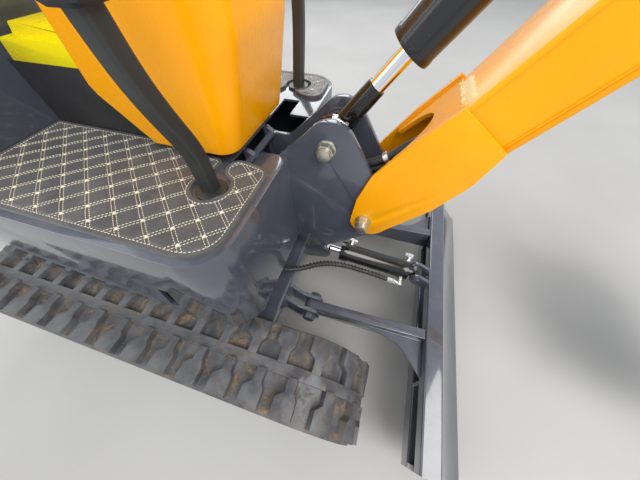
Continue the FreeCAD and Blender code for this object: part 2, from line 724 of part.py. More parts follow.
def tub():
    """Make the house's lower tub: skirt, bottom, floor with its opening, and the bulkhead under the seat."""
    body = slab(house_plan(), HOUSE_BOTTOM, HOUSE_RIM)
    floor = HOUSE_RIM - MAT_THICKNESS
    under = floor - FLOOR_THICKNESS
    inner = HOUSE_HALF_WIDTH - HOUSE_WALL
    wall = HOUSE_FRONT - HOUSE_WALL
    cavity_front = slab([
        (wall, -inner, HOUSE_CORNER - HOUSE_WALL), (wall, inner, HOUSE_CORNER - HOUSE_WALL),
        (SEAT_BOX_FRONT, inner), (SEAT_BOX_FRONT, -inner),
    ], HOUSE_BOTTOM + 12.0, under)
    bay = slab([
        (SEAT_BOX_FRONT - BULKHEAD, -inner), (SEAT_BOX_FRONT - BULKHEAD, inner),
        (DOOR_FRONT + 20.0, inner), (DOOR_FRONT + 20.0, -inner),
    ], HOUSE_BOTTOM + 12.0, HOUSE_RIM + 1.0)
    beyond = HOUSE_HALF_WIDTH + 2.0
    step = block(SEAT_BOX_FRONT, HOUSE_FRONT + 2.0, -beyond, beyond, floor, HOUSE_RIM + 1.0)
    body = body.cut([cavity_front, bay, step])
    cuts = [block(*opening, under - 1.0, floor + 1.0) for opening in FLOOR_OPENING]
    side = SUPPORT_OUTER + RUNNING_SEAT
    front = HOUSE_FRONT + 1.0
    cuts.append(block(wall - 1.0, front, -side, side, MOUTH_TOP, floor + 1.0))
    for y0, y1 in ((-side, RUNNING_SEAT - SUPPORT_INNER), (SUPPORT_INNER - RUNNING_SEAT, side)):
        cuts.append(block(wall - 1.0, front, y0, y1, HOUSE_BOTTOM + 12.0, MOUTH_TOP + 1.0))
    cuts.append(plate(list(SKIRT_SLOT), -HOUSE_HALF_WIDTH - 2.0, -inner + 2.0))
    cuts.append(Part.makeCylinder(60.0, 40.0, V(0, 0, HOUSE_BOTTOM - 5.0)))
    return body.cut(cuts).removeSplitter()


def boom_support():
    """Make the two plates that carry the boom: they pass the tub's front and run back under the floor."""
    fx, fz = FOOT_PIN
    ux, uz = UPPER_PIN
    front = HOUSE_FRONT
    under = HOUSE_RIM - MAT_THICKNESS - FLOOR_THICKNESS - RUNNING_SEAT
    keel = HOUSE_BOTTOM + 12.0 + RUNNING_SEAT
    outline = [
        (SUPPORT_REAR, under), (SUPPORT_REAR + 10.0, under, 8.0), (SUPPORT_REAR + 26.0, SUPPORT_DIP, 16.0),
        (300.0, SUPPORT_DIP, 30.0), (386.0, 693.0, 30.0), (ux - 4.0, uz + 62.0, 44.0),
        (ux + 40.0, uz + 36.0, 40.0), (fx + 10.0, fz + 100.0, 60.0), (fx + 62.0, fz + 10.0, 46.0),
        (fx + 4.0, fz - 66.0, 46.0), (453.0, 388.0, 50.0), (408.0, 350.0, 30.0), (front, 372.0),
        (front, keel), (SUPPORT_REAR + 30.0, keel + 20.0, 20.0),
    ]
    shapes = pair(outline, SUPPORT_INNER, SUPPORT_OUTER)
    shapes.append(block(front, front + 10.0, -SUPPORT_INNER, SUPPORT_INNER, 384.0, MOUTH_TOP))
    shapes.append(block(251.0, 264.5, -80.0, SUPPORT_INNER + 2.0, SUPPORT_DIP - 4.0, SUPPORT_DIP + 2.0))
    for side in (-1, 1):
        y0, y1 = sorted((side * (SUPPORT_INNER - 10.0), side * SUPPORT_INNER))
        shapes.append(cross_pin(UPPER_PIN, 26.0, y0, y1))
    shapes.append(cross_pin(FOOT_PIN, 26.0, -SUPPORT_INNER, SUPPORT_INNER))
    whole = join(shapes)
    return whole.cut(cross_pin(FOOT_PIN, BOLT_RADIUS + RUNNING_SEAT, -SUPPORT_OUTER - 1.0, SUPPORT_OUTER + 1.0))


def lock_nut(spot, face, side):
    """Make a washer and a lock nut with its round collar, outwards from a face on one side."""
    levels = [0.0, 3.0, 3.0 + NUT_HEIGHT, 3.0 + NUT_HEIGHT + NUT_COLLAR]
    shapes = []
    for i in range(3):
        y0, y1 = sorted((side * (face + levels[i]), side * (face + levels[i + 1])))
        if i == 1:
            shapes.append(hexagon(spot, NUT_ACROSS, y0, y1))
        else:
            shapes.append(cross_pin(spot, WASHER_RADIUS if i == 0 else NUT_ACROSS / 2.0 - 1.0, y0, y1))
    return shapes


def support_bolts():
    """Make the lock nut outside each support plate at the upper pin, with the bolt's end on the right."""
    right = lock_nut(UPPER_PIN, SUPPORT_OUTER, -1)
    right.append(cross_pin(UPPER_PIN, BOLT_RADIUS, -SUPPORT_OUTER - 25.0, -SUPPORT_OUTER))
    return Part.makeCompound([join(right), join(lock_nut(UPPER_PIN, SUPPORT_OUTER, 1))])


# The mats' inner edges from the front to the rear, as x, distance from the centre plane and
# corner radius; each runs through the hole round its post, which is open to the floor there.
MAT_INNER = {
    -1: [(328.0, 113.0, 24.0), (252.0, 98.0, 18.0), (246.0, 130.0, 20.0), (264.0, 164.0),
         (224.0, 166.0), (230.0, 128.0, 8.0), (230.0, 106.0, 14.0), (160.0, 106.0, 10.0)],
    1: [(328.0, 180.0, 26.0), (276.0, 190.0, 30.0), (249.0, 214.0, 4.0), (240.0, 226.0),
        (224.0, 236.0), (210.0, 200.0, 20.0), (200.0, 106.0, 20.0), (160.0, 106.0, 10.0)],
}
MAT_HOLES = {-1: (247.0, 181.0), 1: (252.0, 245.0)}


def floor_mat(side):
    """Make one floor mat with its rounded corner and the hole round the post."""
    edge = HOUSE_HALF_WIDTH - MAT_MARGIN
    front = HOUSE_FRONT - MAT_MARGIN
    corner = HOUSE_CORNER - MAT_MARGIN
    inner = PLINTH_HALF_WIDTH + 3.0
    rear = SEAT_BOX_FRONT + 2.0
    outline = [(rear, edge), (front, edge, corner), *MAT_INNER[side], (160.0, inner), (rear, inner)]
    mat = slab([(x, side * y, *radius) for x, y, *radius in outline], HOUSE_RIM - MAT_THICKNESS, HOUSE_RIM)
    x, y = MAT_HOLES[side]
    return mat.cut(Part.makeCylinder(34.0, 40.0, V(x, side * y, HOUSE_RIM - 20.0)))


def console():
    """Make the folded console: a side profile with bends, its front corners chamfered in plan."""
    low = PLINTH_STEP + RUNNING_SEAT
    profile = [
        (93.0, low), (262.0, low, 3.0), (304.0, 825.0, 40.0), (300.0, 1010.0, 60.0),
        (270.0, CONSOLE_TOP, 40.0), (60.0, CONSOLE_TOP, 30.0), (32.0, 851.0, 20.0), (19.0, 742.0, 10.0),
    ]
    body = plate(profile, -CONSOLE_HALF_WIDTH, CONSOLE_HALF_WIDTH)
    for side in (-1, 1):
        y = side * CONSOLE_HALF_WIDTH
        corner = slab([
            (238.0, y + side * 2.0), (330.0, y + side * 2.0), (330.0, y - side * 30.0),
            (290.0, y - side * 14.0, 30.0),
        ], low - 10.0, CONSOLE_TOP + 10.0)
        body = body.cut(corner)
    return body


def plinth():
    """Make the centre plinth between the mats, with its step."""
    floor = HOUSE_RIM - MAT_THICKNESS
    profile = [
        (SEAT_BOX_FRONT, floor), (232.0, floor), (232.0, PLINTH_STEP), (92.0, PLINTH_STEP), (17.0, 741.0),
        (17.0, PLINTH_TOP), (SEAT_BOX_FRONT, PLINTH_TOP),
    ]
    return plate(profile, -PLINTH_HALF_WIDTH, PLINTH_HALF_WIDTH)


def plinth_lid():
    """Make the stepped lid on the plinth."""
    low = PLINTH_TOP
    lower = plate([(-190.0, low), (17.0, low), (22.0, low + 36.0), (-178.0, low + 36.0, 10.0)],
                  -PLINTH_HALF_WIDTH, PLINTH_HALF_WIDTH)
    upper = plate([(-170.0, low + 34.0), (22.0, low + 34.0), (24.0, low + 54.0), (-158.0, low + 54.0, 8.0)],
                  -PLINTH_HALF_WIDTH + 20.0, PLINTH_HALF_WIDTH - 20.0)
    return join([lower, upper])


def engine_bay():
    """Make the panels round the engine, under the seat: front, two sides and the top."""
    y = HOUSE_HALF_WIDTH - PANEL_INSET
    wall = PANEL_WALL
    rear = DOOR_FRONT
    outer = slab([(SEAT_BOX_FRONT, -y), (SEAT_BOX_FRONT, y), (rear, y), (rear, -y)], HOUSE_RIM, SEAT_BOX_TOP)
    outer = outer.makeFillet(16.0, [edge for edge in outer.Edges if is_top_edge(edge, y)])
    hollow = block(rear - 1.0, SEAT_BOX_FRONT - wall, -y + wall, y - wall, HOUSE_RIM - 1.0, SEAT_BOX_TOP - wall)
    bay = join([outer.cut(hollow), *hinges(0.0, 1.0)])
    pins = []
    for place in HINGE_PLACES:
        pins.append(Part.makeCylinder(HINGE_PIN, 2.0 * HINGE_KNUCKLE, V(*hinge_axis(), place)))
    return join([bay, *pins])


def hinge_axis():
    """Give the plan position of the door's hinges."""
    return DOOR_FRONT - DOOR_GAP / 2.0, HOUSE_HALF_WIDTH + HINGE_OUT


def hinges(start, way):
    """Make one half of the door's hinges: knuckles from a height up, with leaves that point one way in x."""
    x, y = hinge_axis()
    face = HOUSE_HALF_WIDTH - PANEL_INSET
    pieces = []
    for place in HINGE_PLACES:
        low = place + start
        high = low + HINGE_KNUCKLE
        pieces.append(Part.makeCylinder(HINGE_RADIUS, HINGE_KNUCKLE, V(x, y, low)))
        near, far = sorted((x - way * 2.0, x + way * 34.0))
        pieces.append(block(near, far, face, face + 4.0, low, high))
    return pieces


def is_top_edge(edge, y):
    """Say whether an edge is one of the long top edges of the engine bay."""
    spot = edge.CenterOfMass
    outer = abs(abs(spot.y) - y) < 0.1 or abs(spot.x - SEAT_BOX_FRONT) < 0.1
    return outer and abs(spot.z - SEAT_BOX_TOP) < 0.1


def rear_door():
    """Make the engine door: a shell with the tail's rounded plan and louvre slots."""
    wall = 12.0
    y = HOUSE_HALF_WIDTH - PANEL_INSET
    rear = HOUSE_REAR + 6.0
    front = DOOR_FRONT - DOOR_GAP
    low, high = HOUSE_RIM + 5.0, SEAT_BOX_TOP
    plan = [(front, -y), (front, y), (rear + 90.0, y, 90.0), (rear, y * 0.5, 130.0), (rear, -y * 0.5, 130.0),
            (rear + 90.0, -y, 90.0)]
    inner = [(front + 20.0, -y + wall), (front + 20.0, y - wall), (rear + 90.0, y - wall, 80.0),
             (rear + wall, (y - wall) * 0.5, 120.0), (rear + wall, -(y - wall) * 0.5, 120.0),
             (rear + 90.0, -y + wall, 80.0)]
    shell = slab(plan, low, high).cut(slab(inner, low - 1.0, high - wall))
    slots = []
    rows = int((high - low - 110.0) / 24.0)
    for row in range(rows):
        z = low + 50.0 + row * 24.0
        slots.append(block(rear - 5.0, rear + 40.0, -110.0, 110.0, z, z + 10.0))
    door = join([shell.cut(slots), *hinges(HINGE_KNUCKLE + RUNNING_SEAT, -1.0)])
    return door.cut(Part.makeCylinder(HINGE_PIN + RUNNING_SEAT, high - low, V(*hinge_axis(), low)))


def counterweight():
    """Make the cast counterweight that fills the tail under the door."""
    tail = slab(house_plan(), HOUSE_BOTTOM, HOUSE_RIM)
    return tail.common(tail_room())


def tail_room():
    """Make the room behind the engine door's front edge, at every height of the tub."""
    wide = HOUSE_HALF_WIDTH + 10.0
    return block(HOUSE_REAR - 10.0, DOOR_FRONT, -wide, wide, HOUSE_BOTTOM - 10.0, HOUSE_RIM + 10.0)


def seat_cushion():
    """Make the seat's cushion as a plain closed form."""
    half = SEAT_WIDTH / 2.0
    plan = [(-150.0, -half, 60.0), (-150.0, half, 60.0), (-560.0, half, 40.0), (-560.0, -half, 40.0)]
    return slab(plan, SEAT_PAN + RUNNING_SEAT, SEAT_PAN + SEAT_DEPTH)


def seat_back():
    """Make the seat's back as a plain closed form, leaning to the rear."""
    half = SEAT_WIDTH / 2.0
    lean = seat_lean()
    side = lean.path([
        (0.0, 0.0, 20.0), (0.0, -SEAT_BACK_DEPTH, 20.0), (430.0, -SEAT_BACK_DEPTH, 40.0), (430.0, -10.0, 30.0),
    ])
    return plate(side, 15.0 - half, half - 15.0)


def seat_lean():
    """Give the local frame of the seat's back, which starts at the cushion's rear and leans backwards."""
    return Axis((-560.0, SEAT_PAN + 51.0), 100.0)


def seat_base():
    """Make the seat's pan, its slides and the bracket behind the back."""
    plan = [(-170.0, -180.0, 20.0), (-170.0, 180.0, 20.0), (-662.0, 180.0, 20.0), (-662.0, -180.0, 20.0)]
    low = SEAT_PAN - 11.0
    shapes = [slab(plan, low, SEAT_PAN)]
    for side in (-1, 1):
        y = side * 130.0
        shapes.append(block(-540.0, -230.0, y - 15.0, y + 15.0, SEAT_BOX_TOP, low + 2.0))
    lean = seat_lean()
    face = -SEAT_BACK_DEPTH - RUNNING_SEAT
    back = lean.path([(-62.0, face), (-62.0, face - 12.0), (260.0, face - 12.0), (260.0, face)])
    shapes.append(plate(back, -140.0, 140.0))
    return join(shapes)


def sweep(points, radius, bend):
    """Sweep a round tube along straight runs joined by tangent arcs."""
    corners = [V(*point) for point in points]
    edges = []
    spot = corners[0]
    for i in range(1, len(corners) - 1):
        here = corners[i]
        u = (corners[i - 1] - here).normalize()
        w = (corners[i + 1] - here).normalize()
        half = u.getAngle(w) / 2.0
        reach = bend / math.tan(half)
        middle = here + (u + w).normalize() * (bend / math.sin(half) - bend)
        edges.append(Part.LineSegment(spot, here + u * reach).toShape())
        edges.append(Part.Arc(here + u * reach, middle, here + w * reach).toShape())
        spot = here + w * reach
    edges.append(Part.LineSegment(spot, corners[-1]).toShape())
    wire = Part.Wire(edges)
    circle = Part.Wire(Part.makeCircle(radius, corners[0], corners[1] - corners[0]))
    return wire.makePipeShell([circle], True, True)


def post_path(side):
    """Give the run of one front post; the right one steps outwards just above the floor."""
    x, y = POST_FEET[side]
    floor = HOUSE_RIM - MAT_THICKNESS + 0.5
    top = (222.0, side * 262.0, POST_TOP)
    if side < 0:
        return [(x, y, floor), (x, y, 712.0), (x - 2.0, y - 24.0, 808.0), (x - 2.0, y - 28.0, 900.0), top]
    return [(x, y, floor), (x - 2.0, y + 7.0, 900.0), top]


def front_post(side):
    """Make one of the canopy's front posts with its foot flange."""
    foot = Part.makeCylinder(28.0, 6.0, V(*POST_FEET[side], HOUSE_RIM - MAT_THICKNESS))
    return join([sweep(post_path(side), POST_RADIUS, 60.0), foot])


def rear_post(side):
    """Make one of the canopy's rear posts with its foot plate on the engine bay."""
    y = side * 290.0
    bend = SEAT_BOX_TOP + 0.5 * (POST_TOP - SEAT_BOX_TOP)
    points = [(-470.0, y, SEAT_BOX_TOP + 2.0), (-470.0, y, bend), (-430.0, side * 262.0, POST_TOP)]
    foot = block(-500.0, -440.0, y - 26.0, y + 22.0, SEAT_BOX_TOP, SEAT_BOX_TOP + 8.0)
    return join([sweep(points, POST_RADIUS, 120.0), foot])


def post_collars():
    """Make the clamp collars where the canopy's front posts are joined."""
    solids = []
    for side in (-1, 1):
        x, y, _ = post_path(side)[-2]
        outer = block(x - 28.0, x + 28.0, y - 28.0, y + 28.0, 862.0, 922.0)
        solids.append(outer.cut(sweep(post_path(side), POST_RADIUS + RUNNING_SEAT, 60.0)))
    return Part.makeCompound(solids)


def canopy_roof():
    """Make the canopy's roof: a shallow crowned tray with a lip."""
    plan = [(320.0, -330.0, 90.0), (320.0, 330.0, 90.0), (-560.0, 330.0, 90.0), (-560.0, -330.0, 90.0)]
    low = CANOPY_TOP - 34.0
    body = slab(plan, low, CANOPY_TOP)
    hollow = slab([(306.0, -316.0, 76.0), (306.0, 316.0, 76.0), (-546.0, 316.0, 76.0), (-546.0, -316.0, 76.0)],
                  low - 1.0, CANOPY_TOP - 4.0)
    rails = []
    for x in (222.0, -430.0):
        rails.append(block(x - 20.0, x + 20.0, -318.0, 318.0, CANOPY_TOP - 30.0, CANOPY_TOP - 3.0))
    return join([body.cut(hollow), *rails])


def levers():
    """Make the two joysticks and the three short levers on the console."""
    solids = []
    for y, x, height, grip in ((-85.0, 150.0, 150.0, 17.0), (85.0, 150.0, 150.0, 17.0),
                               (-28.0, 190.0, 110.0, 12.0), (0.0, 190.0, 110.0, 12.0), (28.0, 190.0, 110.0, 12.0)):
        top = CONSOLE_TOP + height
        stem = Part.makeCylinder(6.0, height, V(x, y, CONSOLE_TOP))
        knob = Part.makeCylinder(grip, height * 0.45, V(x, y, top - height * 0.45))
        boot = Part.makeCone(22.0, 9.0, 30.0, V(x, y, CONSOLE_TOP))
        solids.append(join([stem, knob, boot]))
    return Part.makeCompound(solids)


def boom_outline(top, low, start):
    """Draw the boom's side from a distance past its foot to near its tip, round the knee."""
    bend = math.radians(BOOM_BEND / 2.0)
    up_shift = top * math.tan(bend)
    low_shift = low * math.tan(bend)
    return [
        boom_low.at(start, -top), boom_low.at(BOOM_KNEE + up_shift, -top, 120.0),
        boom_high.at(BOOM_UPPER - 100.0, -top + 8.0), boom_high.at(BOOM_UPPER - 100.0, low - 8.0),
        boom_low.at(BOOM_KNEE - low_shift, low, 120.0), boom_low.at(start, low),
    ]


def boom():
    """Make the boom: web box, flanges, foot fork, top cover with its oval mouth, brackets and tip."""
    fork_in = SUPPORT_OUTER + FORK_GAP
    fork_out = fork_in + FORK_THICKNESS
    foot = boom_low.path([
        (-48.0, -8.0, 36.0), (-20.0, 47.0, 36.0), (45.0, 55.0, 90.0), (125.0, 66.0, 90.0), (206.0, 62.0, 90.0),
        (269.0, 43.0), (272.0, -53.0), (188.0, -63.0, 60.0), (100.0, -66.0, 60.0), (38.0, -50.0, 60.0),
    ])
    shapes = pair(foot, fork_in, fork_out)
    top, low = BOOM_TOP_OFFSET, BOOM_LOW_OFFSET
    half = FLANGE_HALF_WIDTH
    shapes.append(plate(boom_outline(top - 2.0, low - 2.0, 262.0), -WEB_HALF_WIDTH, WEB_HALF_WIDTH))
    outer = plate(boom_outline(top + 6.0, low + 6.0, 262.0), -half, half)
    middle = plate(boom_outline(top - 2.0, low - 2.0, 250.0), -half - 1.0, half + 1.0)
    shapes.extend(outer.cut(middle).Solids)
    cover = plate(boom_low.path([
        (146.0, -60.5), (268.0, -49.5), (268.0, -41.5), (146.0, -52.5),
    ]), -fork_in, fork_in)
    shapes.append(cover.cut(mouth()))
    under = plate(boom_low.path([(70.0, 46.0), (266.0, 32.0), (266.0, 40.0), (70.0, 54.0)]), -fork_in, fork_in)
    shapes.append(under)
    shapes.append(plate(boom_low.path([(256.0, -46.0), (265.0, -46.0), (265.0, 36.0), (256.0, 36.0)]),
                        -fork_in, fork_in))
    shapes.extend(pair(boom_bracket(), EYE_HALF + 2.0, EYE_HALF + 14.0))
    tip = boom_high.path([
        (BOOM_UPPER - 150.0, -39.0), (BOOM_UPPER, -46.0, 44.0), (BOOM_UPPER + 48.0, 0.0, 44.0),
        (BOOM_UPPER, 46.0, 44.0), (BOOM_UPPER - 150.0, 42.0),
    ])
    shapes.extend(pair(tip, TIP_INNER, TIP_INNER + BOOM_TIP_FORK))
    whole = join(shapes)
    whole = whole.cut(cross_pin(FOOT_PIN, BOLT_RADIUS, -fork_out - 1.0, fork_out + 1.0))
    reach = TIP_INNER + BOOM_TIP_FORK + 8.0
    pins = [cross_pin(boom_tip, PIN_RADIUS, -reach, reach)]
    for spot in (boom_cylinder_pin, arm_cylinder_pin):
        pins.append(cross_pin(spot, PIN_RADIUS - RUNNING_SEAT, -EYE_HALF - 20.0, EYE_HALF + 20.0))
    return join([whole, *pins])


def mouth():
    """Make the oval hole in the boom's top cover, where the hoses go in: open at the foot, round at its end."""
    wide, long = MOUTH_HALF_WIDTH, MOUTH_END - MOUTH_START
    oval = Part.Ellipse(V(0, 0, 0), long, wide).toShape()
    tool = Part.Face(Part.Wire(oval)).extrude(V(0, 0, 60.0))
    tool.rotate(V(0, 0, 0), V(0, 1, 0), -BOOM_ANGLE)
    tool.translate(V(*spot3(boom_low.at(MOUTH_START, -20.0))))
    return tool


def spot3(point):
    """Place a point of the centre plane in space."""
    return point[0], 0.0, point[1]


def way3(axis, s, n):
    """Give a direction of a local frame in space."""
    return s * axis.cos + n * axis.sin, 0.0, s * axis.sin - n * axis.cos


def boom_bracket():
    """Draw the bracket on the knee that carries the boom's and the arm's cylinders."""
    px, pz = boom_cylinder_pin
    qx, qz = arm_cylinder_pin
    low_start = boom_low.at(BOOM_KNEE - 56.0, -BOOM_TOP_OFFSET + 4.0)
    high_end = boom_high.at(104.0, -BOOM_TOP_OFFSET + 4.0)
    return [
        low_start, (px - 22.0, pz - 8.0, 22.0), (px - 20.0, pz + 34.0, 22.0), (qx - 10.0, qz + 34.0, 26.0),
        (qx + 34.0, qz + 10.0, 26.0), high_end, boom_low.at(BOOM_KNEE, -10.0),
    ]


def foot_bolt():
    """Make the boom's foot bolt with its washer and nut on each side."""
    fork_out = SUPPORT_OUTER + FORK_GAP + FORK_THICKNESS
    shapes = [cross_pin(FOOT_PIN, BOLT_RADIUS, -fork_out - 28.0, fork_out + 8.0)]
    for side in (-1, 1):
        shapes.extend(lock_nut(FOOT_PIN, fork_out, side))
    return join(shapes)


def arm():
    """Make the arm: a tapered box, its tail with the cylinder's lug, and the pivot bosses."""
    reach = ARM_LENGTH
    profile = arm_axis.path([
        (-34.0, 34.0, 30.0), (60.0, 48.0, 60.0), (240.0, 56.0, 100.0), (reach - 6.0, 30.0), (reach - 6.0, -30.0),
        (reach - 200.0, -56.0, 60.0), (250.0, -70.0, 60.0), (20.0, -96.0, 60.0),
        (-34.0, -40.0, 30.0),
    ])
    half = ARM_HALF_WIDTH
    shapes = [plate(profile, -half, half), cross_pin(bucket_pin, 30.5, -half, half)]
    tail_axis = Axis(boom_tip, ARM_ANGLE + ARM_TAIL_ANGLE)
    lug_plate = [
        arm_axis.at(-10.0, 20.0), tail_axis.at(ARM_TAIL_RADIUS - 10.0, -34.0, 26.0),
        tail_axis.at(ARM_TAIL_RADIUS + 32.0, 0.0, 26.0), tail_axis.at(ARM_TAIL_RADIUS - 10.0, 34.0, 26.0),
        arm_axis.at(150.0, -74.0), arm_axis.at(120.0, -20.0),
    ]
    shapes.extend(pair(lug_plate, EYE_HALF + 2.0, EYE_HALF + 12.0))
    px, above = ROCKER_PIN
    cheek = arm_axis.path([
        (reach + px - 34.0, -40.0), (reach + px - 22.0, -above - 24.0, 22.0),
        (reach + px + 22.0, -above - 24.0, 22.0), (reach + px + 34.0, -40.0),
    ])
    shapes.extend(pair(cheek, half - 14.0, half))
    along = ARM_LENGTH + BUCKET_CYLINDER_PIN[0]
    above = BUCKET_CYLINDER_PIN[1]
    carrier = arm_axis.path([
        (along - 70.0, -60.0), (along - 14.0, -above - 22.0, 20.0), (along + 20.0, -above - 12.0, 18.0),
        (along + 44.0, -58.0),
    ])
    shapes.extend(pair(carrier, SMALL_EYE_HALF + 2.0, SMALL_EYE_HALF + 12.0))
    shapes.append(cross_pin(boom_tip, 30.0, EYE_GAP - TIP_INNER, TIP_INNER - EYE_GAP))
    whole = join(shapes)
    whole = whole.cut(cross_pin(boom_tip, PIN_RADIUS + RUNNING_SEAT, -100.0, 100.0))
    groove = plate(tail_groove(), -EYE_HALF - 2.0, EYE_HALF + 2.0)
    whole = whole.cut(groove)
    pins = [cross_pin(rocker_pin, PIN_RADIUS, y, y + 46.0) for y in (-half - 26.0, half - 20.0)]
    pins.append(cross_pin(bucket_pin, PIN_RADIUS, -half - 40.0, half + 40.0))
    small = SMALL_EYE_HALF + 16.0
    pins.append(cross_pin(bucket_cylinder_pin, PIN_RADIUS - RUNNING_SEAT, -small, small))
    return join([whole, *pins])


def tail_groove():
    """Draw the clearance for the cylinder's eye between the arm's tail plates."""
    tail_axis = Axis(boom_tip, ARM_ANGLE + ARM_TAIL_ANGLE)
    return tail_axis.path([
        (ARM_TAIL_RADIUS - 70.0, -80.0), (ARM_TAIL_RADIUS + 60.0, -80.0), (ARM_TAIL_RADIUS + 60.0, 80.0),
        (ARM_TAIL_RADIUS - 70.0, 80.0),
    ])


def between(a, b):
    """Give the local frame that starts at one pin and points to another."""
    return Axis(a, math.degrees(math.atan2(b[1] - a[1], b[0] - a[0])))


def rocker():
    """Make the two rocker plates of the bucket linkage, each with its stub of the cross pin."""
    way = between(rocker_pin, rocker_end)
    outline = way.path([
        (-26.0, 0.0, 20.0), (0.0, 26.0, 20.0), (ROCKER_LENGTH, 22.0, 18.0), (ROCKER_LENGTH + 24.0, 0.0, 18.0),
        (ROCKER_LENGTH, -22.0, 18.0), (0.0, -26.0, 20.0),
    ])
    inner = ARM_HALF_WIDTH + ROCKER_GAP
    outer = inner + ROCKER_THICKNESS
    stub = SMALL_EYE_HALF + EYE_GAP
    solids = []
    for side in (-1, 1):
        y0, y1 = sorted((side * inner, side * outer))
        a, b = sorted((side * stub, side * inner))
        cheek = join([plate(outline, y0, y1), cross_pin(rocker_end, PIN_RADIUS, a, b)])
        solids.append(cheek.cut(cross_pin(rocker_pin, PIN_RADIUS + RUNNING_SEAT, y0 - 1.0, y1 + 1.0)))
    return Part.makeCompound(solids)


def bucket_link():
    """Make the link from the rocker to the bucket: two bars with eyes round one pin."""
    way = between(rocker_end, bucket_lug)
    bar = way.path([(0.0, 14.0), (LINK_LENGTH, 14.0), (LINK_LENGTH, -14.0), (0.0, -14.0)])
    y = SMALL_EYE_HALF + LINK_GAP
    shapes = pair(bar, y, y + LINK_THICKNESS)
    for spot in (rocker_end, bucket_lug):
        shapes.append(cross_pin(spot, 20.0, y, y + LINK_THICKNESS))
        shapes.append(cross_pin(spot, 20.0, -y - LINK_THICKNESS, -y))
    shapes.append(plate(way.path([
        (LINK_LENGTH - 72.0, -12.0), (LINK_LENGTH - 36.0, -12.0), (LINK_LENGTH - 36.0, 12.0),
        (LINK_LENGTH - 72.0, 12.0),
    ]), -y - 2.0, y + 2.0))
    whole = join(shapes)
    return whole.cut(cross_pin(rocker_end, PIN_RADIUS + RUNNING_SEAT, -80.0, 80.0))


def bucket_profile():
    """Draw the bucket's side from the lip: the mouth as its first edge, then back, heel and floor."""
    return [
        (BUCKET_RADIUS - 18.0, -30.0), (70.0, -6.0), (40.0, -20.0, 15.0), (12.0, -130.0, 60.0),
        (90.0, -300.0, 130.0), (330.0, -240.0, 130.0),
    ]


def bucket_shape():
    """Make the bucket from its side profile: the shell is that profile less a smaller one."""
    way = Axis(bucket_pin, ARM_ANGLE + BUCKET_ANGLE)
    half = BUCKET_WIDTH / 2.0
    # The local s points from the pin to the lip, and n to the side that the bucket digs towards.
    profile = bucket_profile()
    outer = plate(way.path(profile), -half, half)
    walls = [-30.0] + [BUCKET_WALL] * (len(profile) - 1)
    inner = plate(way.path(inset(profile, walls)), -half + BUCKET_WALL, half - BUCKET_WALL)
    shell = outer.cut(inner)
    lug_way = Axis(bucket_pin, ARM_ANGLE + BUCKET_LUG_ANGLE)
    ears = []
    y = ARM_HALF_WIDTH + BUCKET_EAR_GAP
    lug_local = [
        lug_way.at(BUCKET_LUG + 24.0, 0.0, 20.0), lug_way.at(BUCKET_LUG, 24.0, 20.0), way.at(20.0, -150.0),
        way.at(70.0, -60.0), way.at(40.0, 4.0, 24.0), way.at(0.0, 28.0, 22.0), way.at(-28.0, 0.0, 22.0),
        lug_way.at(BUCKET_LUG, -24.0, 20.0),
    ]
    ears.extend(pair(lug_local, y, y + BUCKET_EAR))
    stub = SMALL_EYE_HALF + LINK_GAP + LINK_THICKNESS + EYE_GAP
    for y0, y1 in ((stub, y + BUCKET_EAR + 6.0), (-y - BUCKET_EAR - 6.0, -stub)):
        ears.append(cross_pin(bucket_lug, PIN_RADIUS, y0, y1))
    whole = join([shell, *ears])
    return whole.cut(cross_pin(bucket_pin, PIN_RADIUS + RUNNING_SEAT, -y - 30.0, y + 30.0))


def bucket_teeth():
    """Make the teeth on the bucket's lip."""
    way = Axis(bucket_pin, ARM_ANGLE + BUCKET_ANGLE)
    solids = []
    end = TOOTH_WIDTH / 2.0 + BUCKET_WALL + 1.0
    pitch = (BUCKET_WIDTH - 2.0 * end) / (BUCKET_TEETH - 1)
    lip, heel = bucket_profile()[0], bucket_profile()[-1]
    edge = Axis(way.at(*lip[:2]), 0.0)
    floor = between(way.at(*heel[:2]), edge.origin)
    tooth = Axis(edge.origin, floor.angle)
    seat = RUNNING_SEAT / 10.0
    profile = tooth.path([
        (-34.0, -seat), (-30.0, -9.0), (30.0, -9.0), (TOOTH_REACH, BUCKET_WALL / 2.0), (30.0, BUCKET_WALL + 9.0),
        (-30.0, BUCKET_WALL + 9.0), (-34.0, BUCKET_WALL + seat), (0.0, BUCKET_WALL + seat), (0.0, -seat),
    ])
    for i in range(BUCKET_TEETH):
        y = -BUCKET_WIDTH / 2.0 + end + i * pitch
        solids.append(plate(profile, y - TOOTH_WIDTH / 2.0, y + TOOTH_WIDTH / 2.0))
    return Part.makeCompound(solids)


def engine():
    """Make the engine as one plain block in its bay."""
    return block(-540.0, -300.0, -170.0, 170.0, HOUSE_BOTTOM + 12.0, 800.0)


